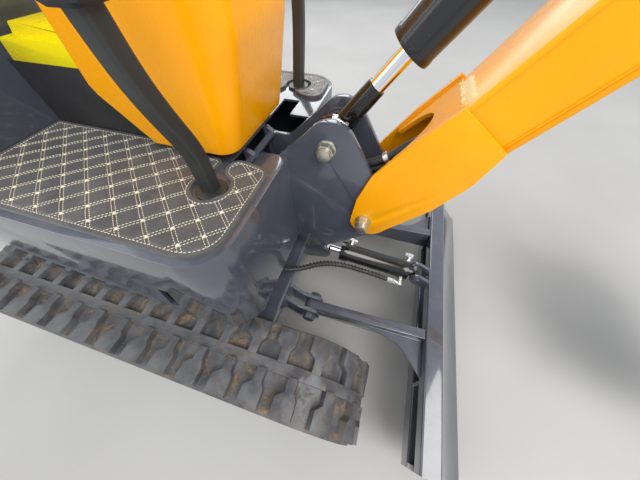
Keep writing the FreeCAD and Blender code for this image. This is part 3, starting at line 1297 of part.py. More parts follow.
def main():
    """Build every node and write it."""
    os.makedirs("parts", exist_ok=True)
    for name, shape in (
        ("track", track()), ("track_frame", side_frame()), ("rollers", rollers()), ("sprocket", sprocket()),
    ):
        save(name + "_right", shape)
        save(name + "_left", mirror(shape))
    save("centre_frame", centre_frame())
    save("front_cross_tube", front_cross_tube())
    save("rear_cross_tube", rear_cross_tube())
    save("slew_ring_lower", slew_lower())
    save("slew_ring_upper", slew_upper())
    save("blade_board", blade_board())
    save("push_arm_right", push_arm())
    save("push_arm_left", mirror(push_arm()))
    barrel, moving = cylinder(BLADE_EYE, BLADE_CLEVIS, BLADE_CYLINDER_LIMITS, {
        "barrel": 28.0, "rod": 12.0, "eye": 18.0, "neck": 32.0, "rod_eye": 18.0, "half_width": BLADE_EYE_HALF,
    })
    save("blade_cylinder_barrel", barrel)
    save("blade_cylinder_rod", moving)
    save("house_tub", tub().cut(tail_room()))
    save("counterweight", counterweight())
    save("boom_support", boom_support())
    save("support_bolts", support_bolts())
    save("floor_mat_right", floor_mat(-1))
    save("floor_mat_left", floor_mat(1))
    save("console", console())
    save("plinth", plinth())
    save("plinth_lid", plinth_lid())
    save("engine_bay", engine_bay())
    save("engine", engine())
    save("rear_door", rear_door())
    save("seat_base", seat_base())
    save("seat_cushion", seat_cushion())
    save("seat_back", seat_back())
    for word, side in (("right", -1), ("left", 1)):
        save("front_post_" + word, front_post(side))
        save("rear_post_" + word, rear_post(side))
    save("post_collars", post_collars())
    save("canopy_roof", canopy_roof())
    save("levers", levers())
    save("boom", boom())
    save("foot_bolt", foot_bolt())
    barrel, moving = cylinder(UPPER_PIN, boom_cylinder_pin, BOOM_CYLINDER_LIMITS, {
        "barrel": 32.3, "rod": 13.7, "eye": 22.0, "neck": 74.0, "rod_eye": 26.0, "half_width": EYE_HALF,
        "sleeve": 84.0, "sleeve_radii": (19.0, 14.6), "clear": 24.0, "gland": 9.0, "gland_step": 1.0,
    })
    save("boom_cylinder_barrel", barrel)
    save("boom_cylinder_rod", moving)
    save("arm", arm())
    barrel, moving = cylinder(arm_tail, arm_cylinder_pin, ARM_CYLINDER_LIMITS, {
        "barrel": 28.0, "rod": 13.0, "eye": 22.0, "neck": 72.0, "rod_eye": 24.0, "half_width": EYE_HALF,
    })
    save("arm_cylinder_barrel", barrel)
    save("arm_cylinder_rod", moving)
    save("bucket", bucket_shape())
    save("bucket_teeth", bucket_teeth())
    barrel, moving = cylinder(rocker_end, bucket_cylinder_pin, BUCKET_CYLINDER_LIMITS, {
        "barrel": 25.0, "rod": 11.0, "eye": 18.0, "neck": 58.0, "rod_eye": 20.0, "half_width": SMALL_EYE_HALF,
        "sleeve": 26.0, "sleeve_radii": (15.0, 13.0),
    })
    save("bucket_cylinder_barrel", barrel)
    save("bucket_cylinder_rod", moving)
    save("rocker", rocker())
    save("bucket_link", bucket_link())


main()
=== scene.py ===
"""The looks of a small tracked excavator: finishes, quilted mats, welds, hoses, seat and dirt.

Every length is in metres, in the machine's own frame: +X to its front, +Y to its left, +Z up.
"""

from __future__ import annotations

import json
import logging
import math
from dataclasses import dataclass
from enum import Enum
from typing import Callable, Iterable, Sequence

import bmesh
import bpy
import numpy as np
from mathutils import Matrix, Quaternion, Vector
from mathutils.bvhtree import BVHTree
from mathutils.geometry import convex_hull_2d, delaunay_2d_cdt

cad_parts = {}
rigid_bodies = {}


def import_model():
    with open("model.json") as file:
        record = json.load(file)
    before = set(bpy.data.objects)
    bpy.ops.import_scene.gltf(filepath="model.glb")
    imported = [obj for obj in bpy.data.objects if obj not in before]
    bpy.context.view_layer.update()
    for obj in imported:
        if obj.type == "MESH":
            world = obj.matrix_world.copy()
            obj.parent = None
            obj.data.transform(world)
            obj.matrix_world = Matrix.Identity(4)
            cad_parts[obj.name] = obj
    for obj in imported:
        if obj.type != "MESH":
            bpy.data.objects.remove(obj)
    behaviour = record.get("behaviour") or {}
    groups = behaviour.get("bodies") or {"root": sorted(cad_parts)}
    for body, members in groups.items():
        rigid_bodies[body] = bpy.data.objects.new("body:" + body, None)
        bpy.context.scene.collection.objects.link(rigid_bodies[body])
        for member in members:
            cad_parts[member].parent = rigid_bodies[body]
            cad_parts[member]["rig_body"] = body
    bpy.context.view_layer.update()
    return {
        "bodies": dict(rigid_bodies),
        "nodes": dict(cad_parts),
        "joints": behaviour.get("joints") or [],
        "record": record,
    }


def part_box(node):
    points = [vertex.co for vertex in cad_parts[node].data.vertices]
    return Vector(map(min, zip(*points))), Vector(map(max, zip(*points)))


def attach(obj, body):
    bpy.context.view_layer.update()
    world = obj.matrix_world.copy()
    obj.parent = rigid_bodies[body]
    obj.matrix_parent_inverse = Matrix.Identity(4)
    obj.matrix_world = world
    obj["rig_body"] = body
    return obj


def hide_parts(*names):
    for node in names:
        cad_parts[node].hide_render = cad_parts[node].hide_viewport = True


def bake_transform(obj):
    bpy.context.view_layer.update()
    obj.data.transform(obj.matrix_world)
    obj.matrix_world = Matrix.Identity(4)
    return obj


log = logging.getLogger("excavator")

Colour = tuple[float, float, float]
Point = tuple[float, float, float]

MM = 0.001


class Side(Enum):
    """The two sides of the machine, with the sign of their Y."""

    RIGHT = -1
    LEFT = 1


class Paint:
    """A material's node tree, with short methods for the nodes that the finishes share."""

    def __init__(self, name: str) -> None:
        """Start a material with only its shader and output.

        Args:
            name: The material's name.
        """
        self.material = bpy.data.materials.new(name)
        self.material.use_nodes = True
        self.tree = self.material.node_tree
        self.shader = self.tree.nodes["Principled BSDF"]

    def node(self, kind: str, **settings: object) -> bpy.types.Node:
        """Add a node and set its properties.

        Args:
            kind: The node's type name, without its ShaderNode prefix.
            **settings: Properties of the node by name.

        Returns:
            The new node.
        """
        made = self.tree.nodes.new("ShaderNode" + kind)
        for key, value in settings.items():
            setattr(made, key, value)
        return made

    def join(self, source: bpy.types.NodeSocket, target: bpy.types.NodeSocket) -> None:
        """Link two sockets."""
        self.tree.links.new(source, target)

    def feed(self, target: bpy.types.NodeSocket, value: object) -> None:
        """Set a socket from a number or colour, or link it from another socket."""
        if isinstance(value, bpy.types.NodeSocket):
            self.join(value, target)
        else:
            target.default_value = value

    def place(self, scale: Sequence[float] = (1, 1, 1), turn: Sequence[float] = (0, 0, 0)) -> bpy.types.NodeSocket:
        """Give object coordinates, scaled and turned.

        Args:
            scale: Scale along each axis.
            turn: Turn about each axis, in radians.

        Returns:
            The mapped vector.
        """
        coords = self.node("TexCoord")
        mapping = self.node("Mapping")
        mapping.inputs["Scale"].default_value = scale
        mapping.inputs["Rotation"].default_value = turn
        self.join(coords.outputs["Object"], mapping.inputs["Vector"])
        return mapping.outputs["Vector"]

    def noise(self, size: float, detail: float = 3.0, rough: float = 0.55, warp: float = 0.0,
              stretch: Sequence[float] = (1, 1, 1)) -> bpy.types.NodeSocket:
        """Give a noise between 0 and 1.

        Args:
            size: The rough size of a blotch.
            detail: How many finer layers are added.
            rough: How strong the finer layers are.
            warp: How far the pattern is bent.
            stretch: Scale of the pattern along each axis.

        Returns:
            The noise's value.
        """
        made = self.node("TexNoise")
        made.inputs["Scale"].default_value = 1.0 / size
        made.inputs["Detail"].default_value = detail
        made.inputs["Roughness"].default_value = rough
        made.inputs["Distortion"].default_value = warp
        self.join(self.place(stretch), made.inputs["Vector"])
        return made.outputs["Fac"]

    def cells(self, size: float, feature: str = "F1") -> bpy.types.NodeSocket:
        """Give the distance to a scatter of points, for grain and chips."""
        made = self.node("TexVoronoi", feature=feature)
        made.inputs["Scale"].default_value = 1.0 / size
        self.join(self.place(), made.inputs["Vector"])
        return made.outputs["Distance"]

    def ramp(self, value: object, low: float, high: float, start: float = 0.0, end: float = 1.0) -> bpy.types.NodeSocket:
        """Map a range of a value smoothly to another.

        Args:
            value: The value that is mapped.
            low: The value that gives start.
            high: The value that gives end.
            start: The result at low.
            end: The result at high.

        Returns:
            The mapped value.
        """
        made = self.node("MapRange", interpolation_type="SMOOTHSTEP")
        self.feed(made.inputs["Value"], value)
        for key, number in (("From Min", low), ("From Max", high), ("To Min", start), ("To Max", end)):
            made.inputs[key].default_value = number
        return made.outputs["Result"]

    def math(self, operation: str, a: object, b: object = 0.0) -> bpy.types.NodeSocket:
        """Combine two values."""
        made = self.node("Math", operation=operation)
        self.feed(made.inputs[0], a)
        self.feed(made.inputs[1], b)
        return made.outputs["Value"]

    def mix(self, share: object, a: object, b: object) -> bpy.types.NodeSocket:
        """Mix two colours; a plain tuple is taken as a colour."""
        made = self.node("Mix", data_type="RGBA")
        self.feed(made.inputs[0], share)
        for socket, colour in ((made.inputs[6], a), (made.inputs[7], b)):
            self.feed(socket, (*colour, 1.0) if isinstance(colour, tuple) else colour)
        return made.outputs[2]

    def upward(self, low: float = 0.5, high: float = 0.95) -> bpy.types.NodeSocket:
        """Give 1 where the surface faces up, and 0 on its sides."""
        geometry = self.node("NewGeometry")
        split = self.node("SeparateXYZ")
        self.join(geometry.outputs["Normal"], split.inputs[0])
        return self.ramp(split.outputs["Z"], low, high)

    def height(self, axis: str = "Z") -> bpy.types.NodeSocket:
        """Give one of the object's coordinates."""
        split = self.node("SeparateXYZ")
        self.join(self.place(), split.inputs[0])
        return split.outputs[axis]

    def relief(self, value: object, depth: float, strength: float = 1.0) -> None:
        """Add a bump to the shader, on top of the ones before it.

        Args:
            value: The height, from 0 to 1.
            depth: The height that 1 stands for.
            strength: The share of the bump that shows.
        """
        made = self.node("Bump")
        made.inputs["Strength"].default_value = strength
        made.inputs["Distance"].default_value = depth
        self.feed(made.inputs["Height"], value)
        normal = self.shader.inputs["Normal"]
        if normal.is_linked:
            self.join(normal.links[0].from_socket, made.inputs["Normal"])
        self.join(made.outputs["Normal"], normal)

    def set(self, **values: object) -> None:
        """Set the shader's own sockets, with underscores for the spaces in their names."""
        for key, value in values.items():
            self.feed(self.shader.inputs[key.replace("_", " ")], value)


@dataclass(frozen=True)
class GlossPaint:
    """Sprayed gloss paint with a faint orange peel, settled dust and small chips, and where asked a pale grey on the
    faces that look down: painted light that stands for sky light in the reflections and bounce on the parts below.
    """

    name: str
    colour: Colour
    deep: Colour
    dust: Colour = (0.30, 0.25, 0.19)
    dust_share: float = 0.25
    rough: float = 0.28
    coat: float = 0.5
    chips: float = 0.0
    peel: float = 0.00012
    ior: float = 1.5
    coat_rough: float = 0.12
    # A pale colour for the faces that look down: painted light that stands for sky light in reflections and bounce, not
    # the paint's own colour.
    underside_painted_light: Colour | None = None

    def build(self) -> bpy.types.Material:
        """Make the material.

        Returns:
            The painted material.
        """
        p = Paint(self.name)
        tone = p.mix(p.ramp(p.noise(0.22, 4.0), 0.35, 0.7), self.deep, self.colour)
        # Painted light: faces that look down get a pale grey instead of the paint, standing for sky light in the
        # reflections and bounce on the parts below.
        if self.underside_painted_light is not None:
            tone = p.mix(p.upward(-0.8, -0.3), self.underside_painted_light, tone)
        film = p.math("MULTIPLY", p.ramp(p.noise(0.06, 8.0, 0.68), 0.42, 0.75), p.upward(0.2, 0.9))
        film = p.math("MULTIPLY", film, self.dust_share)
        speck = p.math("MULTIPLY", p.ramp(p.noise(0.004, 2.0), 0.66, 0.74), self.dust_share * 0.8)
        dirt = p.math("MAXIMUM", film, speck)
        base = p.mix(dirt, tone, self.dust)
        if self.chips > 0.0:
            chip = p.math("MULTIPLY", p.ramp(p.cells(0.011), 0.16, 0.12), p.ramp(p.noise(0.05), 0.60, 0.66))
            base = p.mix(p.math("MULTIPLY", chip, self.chips), base, (0.16, 0.14, 0.13))
        scuff = p.noise(0.03, 6.0, 0.7, 0.4, (1.0, 1.0, 0.25))
        rough = p.math("ADD", p.ramp(scuff, 0.4, 0.8, self.rough, self.rough + 0.14), p.math("MULTIPLY", dirt, 0.45))
        p.set(Base_Color=base, Roughness=rough, Coat_Weight=self.coat, Coat_Roughness=self.coat_rough, IOR=self.ior)
        p.relief(p.noise(0.0028, 1.0), self.peel, 0.5)
        p.relief(p.noise(0.09, 2.0), 0.0012, 0.12)
        return p.material


@dataclass(frozen=True)
class Rubber:
    """Moulded rubber: matt, greyed on its faces, with dried soil in its low places."""

    name: str
    colour: Colour = (0.056, 0.058, 0.064)
    worn: Colour = (0.115, 0.117, 0.124)
    soil: Colour = (0.17, 0.105, 0.055)
    dry_soil: Colour = (0.26, 0.19, 0.115)
    soil_share: float = 0.24

    def build(self) -> bpy.types.Material:
        """Make the material.

        Returns:
            The rubber material.
        """
        p = Paint(self.name)
        worn = p.ramp(p.noise(0.035, 6.0, 0.6), 0.35, 0.72)
        base = p.mix(worn, self.colour, self.worn)
        cake = p.ramp(p.noise(0.045, 9.0, 0.72, 0.6), 0.53, 0.66)
        dusty = p.math("MULTIPLY", p.ramp(p.noise(0.012, 5.0, 0.7), 0.4, 0.75), 0.22)
        low = p.node("Attribute", attribute_name="low").outputs["Fac"]
        packed = p.math("MULTIPLY", low, p.ramp(p.noise(0.055, 9.0, 0.78, 0.6), 0.49, 0.60))
        soil = p.math("MULTIPLY", p.math("MAXIMUM", cake, dusty), self.soil_share)
        soil = p.math("MAXIMUM", soil, p.math("MULTIPLY", packed, 0.8))
        tone = p.mix(p.ramp(p.noise(0.01, 6.0, 0.7), 0.35, 0.65), self.soil, self.dry_soil)
        p.set(Base_Color=p.mix(soil, base, tone), Roughness=p.math("ADD", p.ramp(worn, 0.0, 1.0, 0.36, 0.56), p.math("MULTIPLY", soil, 0.4)), IOR=1.5)
        p.relief(p.noise(0.0016, 3.0, 0.6), 0.0003, 0.6)
        p.relief(p.math("MULTIPLY", soil, p.noise(0.004, 5.0)), 0.002, 0.8)
        return p.material


@dataclass(frozen=True)
class Metal:
    """Bare or plated metal with fine scratches and a little grime."""

    name: str
    colour: Colour
    grime: Colour = (0.10, 0.09, 0.08)
    rough: float = 0.25
    grime_share: float = 0.25
    grain: Sequence[float] = (1.0, 1.0, 1.0)

    def build(self) -> bpy.types.Material:
        """Make the material.

        Returns:
            The metal material.
        """
        p = Paint(self.name)
        grime = p.math("MULTIPLY", p.ramp(p.noise(0.02, 7.0, 0.7), 0.48, 0.72), self.grime_share)
        lines = p.noise(0.0014, 4.0, 0.6, 0.0, self.grain)
        p.set(Base_Color=p.mix(grime, self.colour, self.grime), Metallic=1.0,
              Roughness=p.ramp(lines, 0.3, 0.75, self.rough, self.rough + 0.15))
        p.relief(lines, 0.00006, 0.4)
        return p.material


@dataclass(frozen=True)
class Moulding:
    """Moulded plastic with a fine leather-like grain."""

    name: str
    colour: Colour
    pale: Colour
    rough: float = 0.5
    grain: float = 0.0011
    depth: float = 0.00018
    dust_share: float = 0.18

    def build(self) -> bpy.types.Material:
        """Make the material.

        Returns:
            The plastic material.
        """
        p = Paint(self.name)
        base = p.mix(p.ramp(p.noise(0.07, 5.0), 0.3, 0.75), self.colour, self.pale)
        dust = p.math("MULTIPLY", p.ramp(p.noise(0.03, 8.0, 0.7), 0.45, 0.75), p.upward(0.3, 0.95))
        dust = p.math("MULTIPLY", dust, self.dust_share)
        p.set(Base_Color=p.mix(dust, base, (0.33, 0.27, 0.20)),
              Roughness=p.math("ADD", p.ramp(p.noise(0.02, 4.0), 0.3, 0.7, self.rough, self.rough + 0.12), dust))
        p.relief(p.cells(self.grain), self.depth, 0.5)
        return p.material


@dataclass(frozen=True)
class Leather:
    """Leatherette: fine pebbled grain, soft sheen and creases."""

    name: str
    colour: Colour
    pale: Colour
    dust: Colour = (0.36, 0.33, 0.28)
    rough: float = 0.42
    dust_share: float = 0.2

    def build(self) -> bpy.types.Material:
        """Make the material.

        Returns:
            The leatherette material.
        """
        p = Paint(self.name)
        base = p.mix(p.ramp(p.noise(0.05, 6.0), 0.35, 0.7), self.colour, self.pale)
        dust = p.math("MULTIPLY", p.ramp(p.noise(0.018, 8.0, 0.75), 0.52, 0.74), self.dust_share)
        p.set(Base_Color=p.mix(dust, base, self.dust), Sheen_Weight=0.15,
              Roughness=p.math("ADD", p.ramp(p.noise(0.01, 4.0), 0.3, 0.7, self.rough, self.rough + 0.1), dust))
        p.relief(p.cells(0.0019), 0.00022, 0.55)
        p.relief(p.noise(0.012, 5.0, 0.6), 0.0006, 0.25)
        return p.material


class Finishes:
    """Every finish of the machine, made once and looked up by name."""

    def __init__(self) -> None:
        """Make the materials."""
        recipes = [
            GlossPaint("orange", (1.0, 0.415, 0.0), (0.97, 0.385, 0.0), dust_share=0.02, rough=0.24, coat=0.16,
                       ior=1.36),
            # The roof's underside is painted pale grey: painted light that stands for sky light in the reflections and
            # bounce on the deck, tub and mats.
            GlossPaint("roof_orange", (1.0, 0.415, 0.0), (0.97, 0.385, 0.0), dust_share=0.06, rough=0.26, coat=0.3,
                       underside_painted_light=(0.62, 0.63, 0.64)),
            GlossPaint("dark_paint", (0.070, 0.079, 0.104), (0.054, 0.061, 0.080), dust=(0.30, 0.29, 0.28),
                       dust_share=0.12, rough=0.16, coat=0.9, chips=0.25, coat_rough=0.05),
            GlossPaint("black_gloss", (0.012, 0.012, 0.014), (0.008, 0.008, 0.009), dust_share=0.10, rough=0.16,
                       coat=0.4, ior=1.45),
            GlossPaint("black_satin", (0.026, 0.026, 0.028), (0.018, 0.018, 0.02), dust_share=0.22, rough=0.38,
                       coat=0.1),
            GlossPaint("dark_steel", (0.075, 0.078, 0.088), (0.055, 0.056, 0.062), dust=(0.32, 0.22, 0.13),
                       dust_share=0.6, rough=0.5, coat=0.0, chips=0.6),
            Rubber("rubber"),
            Metal("chrome", (0.86, 0.87, 0.89), rough=0.06, grime_share=0.06),
            Metal("zinc", (0.66, 0.66, 0.56), rough=0.27, grime_share=0.3),
            Metal("steel", (0.42, 0.40, 0.38), rough=0.42, grime_share=0.7),
            Metal("rusted_wire", (0.20, 0.075, 0.04), rough=0.6, grime_share=0.5),
            Metal("white_zinc", (0.82, 0.82, 0.80), rough=0.3, grime_share=0.12),
            Moulding("yellow", (1.0, 0.86, 0.0), (1.0, 0.81, 0.0), rough=0.2, depth=0.00008, dust_share=0.04),
            # A matt pale cream for the bead at the boom's root: partly its own colour, partly a painted highlight along
            # the bead.
            Moulding("primer", (0.93, 0.66, 0.27), (1.0, 0.78, 0.42), rough=0.6, depth=0.00012, dust_share=0.05),
            Moulding("black_plastic", (0.021, 0.021, 0.023), (0.032, 0.032, 0.034)),
            Leather("mat", (0.064, 0.064, 0.067), (0.092, 0.092, 0.093), dust=(0.30, 0.30, 0.295), dust_share=0.2),
            Leather("vinyl", (0.020, 0.020, 0.022), (0.034, 0.034, 0.036), dust_share=0.1),
            Moulding("thread", (0.68, 0.64, 0.50), (0.78, 0.74, 0.60), rough=0.7, dust_share=0.1),
            Moulding("hose", (0.018, 0.018, 0.019), (0.03, 0.03, 0.031), rough=0.42, dust_share=0.3),
            Moulding("guard", (0.05, 0.052, 0.058), (0.075, 0.077, 0.082), rough=0.4, dust_share=0.25),
            Moulding("black_thread", (0.05, 0.05, 0.052), (0.09, 0.09, 0.09), rough=0.7, dust_share=0.1),
            Moulding("rubber_clean", (0.022, 0.022, 0.023), (0.035, 0.035, 0.036), rough=0.6, dust_share=0.2),
            GlossPaint("post_black", (0.030, 0.033, 0.033), (0.022, 0.024, 0.024), dust=(0.16, 0.15, 0.14),
                       dust_share=0.2, rough=0.42, coat=0.12),
        ]
        self.made = {recipe.name: recipe.build() for recipe in recipes}

    def __getitem__(self, name: str) -> bpy.types.Material:
        """Look a finish up."""
        return self.made[name]


def show(name: str, mesh: bpy.types.Mesh, body: str | None, finish: bpy.types.Material) -> bpy.types.Object:
    """Put a finished mesh in the scene, riding on a body.

    Args:
        name: The piece's name.
        mesh: Its mesh, in the machine's frame.
        body: The body that it rides on, or none for a piece that stays where it is made.
        finish: Its material.

    Returns:
        The piece.
    """
    mesh.materials.clear()
    mesh.materials.append(finish)
    piece = bpy.data.objects.new(name, mesh)
    bpy.context.scene.collection.objects.link(piece)
    if body is not None:
        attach(piece, body)
    log.info("%s: %d faces on %s", name, len(mesh.polygons), body)
    return piece


def evaluated(piece: bpy.types.Object) -> bpy.types.Mesh:
    """Give a plain mesh of an object with its modifiers applied.

    Args:
        piece: The object, linked to the scene.

    Returns:
        A new mesh.
    """
    graph = bpy.context.evaluated_depsgraph_get()
    graph.update()
    return bpy.data.meshes.new_from_object(piece.evaluated_get(graph))


def spare(mesh: bpy.types.Mesh) -> bpy.types.Object:
    """Link a mesh as a working object, which is removed again once it is evaluated."""
    piece = bpy.data.objects.new("working", mesh)
    bpy.context.scene.collection.objects.link(piece)
    return piece


def smooth_by_angle(mesh: bpy.types.Mesh, degrees: float = 32.0) -> None:
    """Shade a mesh smooth, with its sharp edges kept.

    Args:
        mesh: The mesh.
        degrees: The angle from which an edge is sharp.
    """
    mesh.shade_smooth()
    mesh.set_sharp_from_angle(angle=math.radians(degrees))


class Tree:
    """A Geometry Nodes tree under construction, with named inputs for its sizes."""

    def __init__(self, name: str) -> None:
        """Start a tree with one geometry input and one geometry output.

        Args:
            name: The tree's name.
        """
        self.group = bpy.data.node_groups.new(name, "GeometryNodeTree")
        self.group.interface.new_socket("Geometry", in_out="INPUT", socket_type="NodeSocketGeometry")
        self.group.interface.new_socket("Geometry", in_out="OUTPUT", socket_type="NodeSocketGeometry")
        self.way_in = self.group.nodes.new("NodeGroupInput")
        self.way_out = self.group.nodes.new("NodeGroupOutput")
        self.keys: dict[str, str] = {}

    def ask(self, name: str, kind: str, default: object = None) -> bpy.types.NodeSocket:
        """Add a named input to the tree.

        Args:
            name: The input's name.
            kind: Float, Int, Vector, Object or Material.
            default: Its default value.

        Returns:
            The socket that gives the input inside the tree.
        """
        socket = self.group.interface.new_socket(name, in_out="INPUT", socket_type="NodeSocket" + kind)
        if default is not None:
            socket.default_value = default
        self.keys[name] = socket.identifier
        return next(out for out in self.way_in.outputs if out.identifier == socket.identifier)

    def node(self, kind: str, links: dict[str, object] | None = None, **settings: object) -> bpy.types.Node:
        """Add a node, set its properties and feed its inputs.

        Args:
            kind: The node's full type name.
            links: Values or sockets by input name.
            **settings: Properties of the node by name.

        Returns:
            The new node.
        """
        made = self.group.nodes.new(kind)
        for key, value in settings.items():
            setattr(made, key, value)
        for key, value in (links or {}).items():
            target = made.inputs[key]
            if isinstance(value, bpy.types.NodeSocket):
                self.group.links.new(value, target)
            else:
                target.default_value = value
        return made

    def math(self, operation: str, a: object, b: object = 0.0) -> bpy.types.NodeSocket:
        """Combine two numbers."""
        made = self.node("ShaderNodeMath", operation=operation)
        for place, value in enumerate((a, b)):
            if isinstance(value, bpy.types.NodeSocket):
                self.group.links.new(value, made.inputs[place])
            else:
                made.inputs[place].default_value = value
        return made.outputs[0]

    def close(self, geometry: bpy.types.NodeSocket, material: bpy.types.NodeSocket) -> None:
        """End the tree with its instances realized and its material set."""
        real = self.node("GeometryNodeRealizeInstances", {"Geometry": geometry})
        done = self.node("GeometryNodeSetMaterial", {"Geometry": real.outputs[0], "Material": material})
        self.group.links.new(done.outputs[0], self.way_out.inputs[0])

    def apply(self, base: bpy.types.Mesh, **values: object) -> bpy.types.Mesh:
        """Run the tree on a mesh.

        Args:
            base: The mesh that goes in.
            **values: Values of the named inputs, with underscores for spaces.

        Returns:
            A plain mesh of what comes out.
        """
        piece = spare(base)
        modifier = piece.modifiers.new("tree", "NODES")
        modifier.node_group = self.group
        for name, value in values.items():
            modifier[self.keys[name.replace("_", " ")]] = value
        result = evaluated(piece)
        bpy.data.objects.remove(piece)
        return result


class Scatter(Tree):
    """Puts a copy of one mesh at every vertex, turned and sized by the vertex's own attributes."""

    def __init__(self) -> None:
        """Build the tree."""
        super().__init__("scatter")
        shape = self.ask("Shape", "Object")
        finish = self.ask("Finish", "Material")
        copy = self.node("GeometryNodeObjectInfo", {"Object": shape})
        turn = self.node("GeometryNodeInputNamedAttribute", {"Name": "turn"}, data_type="FLOAT_VECTOR")
        size = self.node("GeometryNodeInputNamedAttribute", {"Name": "size"}, data_type="FLOAT_VECTOR")
        spin = self.node("FunctionNodeEulerToRotation", {"Euler": turn.outputs[0]})
        points = self.node("GeometryNodeMeshToPoints", {"Mesh": self.way_in.outputs[0]})
        placed = self.node("GeometryNodeInstanceOnPoints", {
            "Points": points.outputs[0], "Instance": copy.outputs["Geometry"],
            "Rotation": spin.outputs[0], "Scale": size.outputs[0],
        })
        self.close(placed.outputs[0], finish)

    def place(self, shape: bpy.types.Mesh, spots: Sequence["Spot"], finish: bpy.types.Material) -> bpy.types.Mesh:
        """Repeat a shape at a list of spots.

        Args:
            shape: The mesh that repeats, with its outward axis on Z.
            spots: Where the copies stand.
            finish: Their material.

        Returns:
            One mesh of all the copies.
        """
        base = bpy.data.meshes.new("spots")
        base.from_pydata([spot.at for spot in spots], [], [])
        turns = base.attributes.new("turn", "FLOAT_VECTOR", "POINT")
        sizes = base.attributes.new("size", "FLOAT_VECTOR", "POINT")
        for number, spot in enumerate(spots):
            turns.data[number].vector = spot.euler()
            sizes.data[number].vector = spot.size
        pattern = spare(shape)
        result = self.apply(base, Shape=pattern, Finish=finish)
        bpy.data.objects.remove(pattern)
        return result


@dataclass(frozen=True)
class Spot:
    """One place of a repeated piece: where it stands, what its Z points at, its spin and its size."""

    at: Point
    axis: Point = (0.0, 0.0, 1.0)
    spin: float = 0.0
    size: Point = (1.0, 1.0, 1.0)
    along: Point | None = None

    def euler(self) -> Point:
        """Give the turn that carries Z to the axis, and X to the given direction."""
        up = Vector(self.axis).normalized()
        if self.along is None:
            turn = up.to_track_quat("Z", "Y")
        else:
            ahead = Vector(self.along)
            ahead = (ahead - up * ahead.dot(up)).normalized()
            turn = Matrix((ahead, up.cross(ahead), up)).transposed().to_quaternion()
        return tuple((turn @ Quaternion((0.0, 0.0, 1.0), self.spin)).to_euler())


class Stitches(Tree):
    """Lays short threads at even steps along every line of a mesh of edges."""

    def __init__(self) -> None:
        """Build the tree."""
        super().__init__("stitches")
        step = self.ask("Step", "Float", 0.005)
        length = self.ask("Length", "Float", 0.0036)
        width = self.ask("Width", "Float", 0.0012)
        finish = self.ask("Finish", "Material")
        lines = self.node("GeometryNodeMeshToCurve", {"Mesh": self.way_in.outputs[0]})
        points = self.node("GeometryNodeCurveToPoints", {"Curve": lines.outputs[0], "Length": step}, mode="LENGTH")
        ball = self.node("GeometryNodeMeshIcoSphere", {"Radius": 0.5, "Subdivisions": 1})
        upright = self.node("FunctionNodeAlignRotationToVector", {"Vector": points.outputs["Tangent"]}, axis="X")
        size = self.node("ShaderNodeCombineXYZ", {"X": length, "Y": width, "Z": width})
        placed = self.node("GeometryNodeInstanceOnPoints", {
            "Points": points.outputs["Points"], "Instance": ball.outputs[0],
            "Rotation": upright.outputs[0], "Scale": size.outputs[0],
        })
        self.close(placed.outputs[0], finish)


class Bead(Tree):
    """Draws a weld bead along every line of a mesh of edges, with the ripples of the melt."""

    def __init__(self) -> None:
        """Build the tree."""
        super().__init__("bead")
        radius = self.ask("Radius", "Float", 0.004)
        ripple = self.ask("Ripple", "Float", 0.0035)
        wave = self.ask("Wave", "Float", 0.12)
        finish = self.ask("Finish", "Material")
        lines = self.node("GeometryNodeMeshToCurve", {"Mesh": self.way_in.outputs[0]})
        step = self.math("DIVIDE", ripple, 4.0)
        fine = self.node("GeometryNodeResampleCurve", {"Curve": lines.outputs[0], "Length": step}, mode="LENGTH")
        place = self.node("GeometryNodeSplineParameter")
        turns = self.math("MULTIPLY", self.math("DIVIDE", place.outputs["Length"], ripple), math.tau)
        swell = self.math("MULTIPLY", self.math("SINE", turns), wave)
        share = self.math("ADD", swell, 1.0)
        sized = self.node("GeometryNodeSetCurveRadius", {"Curve": fine.outputs[0], "Radius": share})
        ring = self.node("GeometryNodeCurvePrimitiveCircle", {"Resolution": 8, "Radius": radius}, mode="RADIUS")
        tube = self.node("GeometryNodeCurveToMesh", {
            "Curve": sized.outputs[0], "Profile Curve": ring.outputs[0], "Fill Caps": True,
        })
        soft = self.node("GeometryNodeSetShadeSmooth", {"Geometry": tube.outputs[0], "Shade Smooth": True})
        self.close(soft.outputs[0], finish)


def lines_mesh(lines: Iterable[Sequence[Sequence[float]]]) -> bpy.types.Mesh:
    """Make a mesh of edges from open lines of points."""
    points: list[tuple[float, ...]] = []
    edges: list[tuple[int, int]] = []
    for line in lines:
        start = len(points)
        points.extend(tuple(point) for point in line)
        edges.extend((start + k, start + k + 1) for k in range(len(line) - 1))
    mesh = bpy.data.meshes.new("lines")
    mesh.from_pydata(points, edges, [])
    return mesh


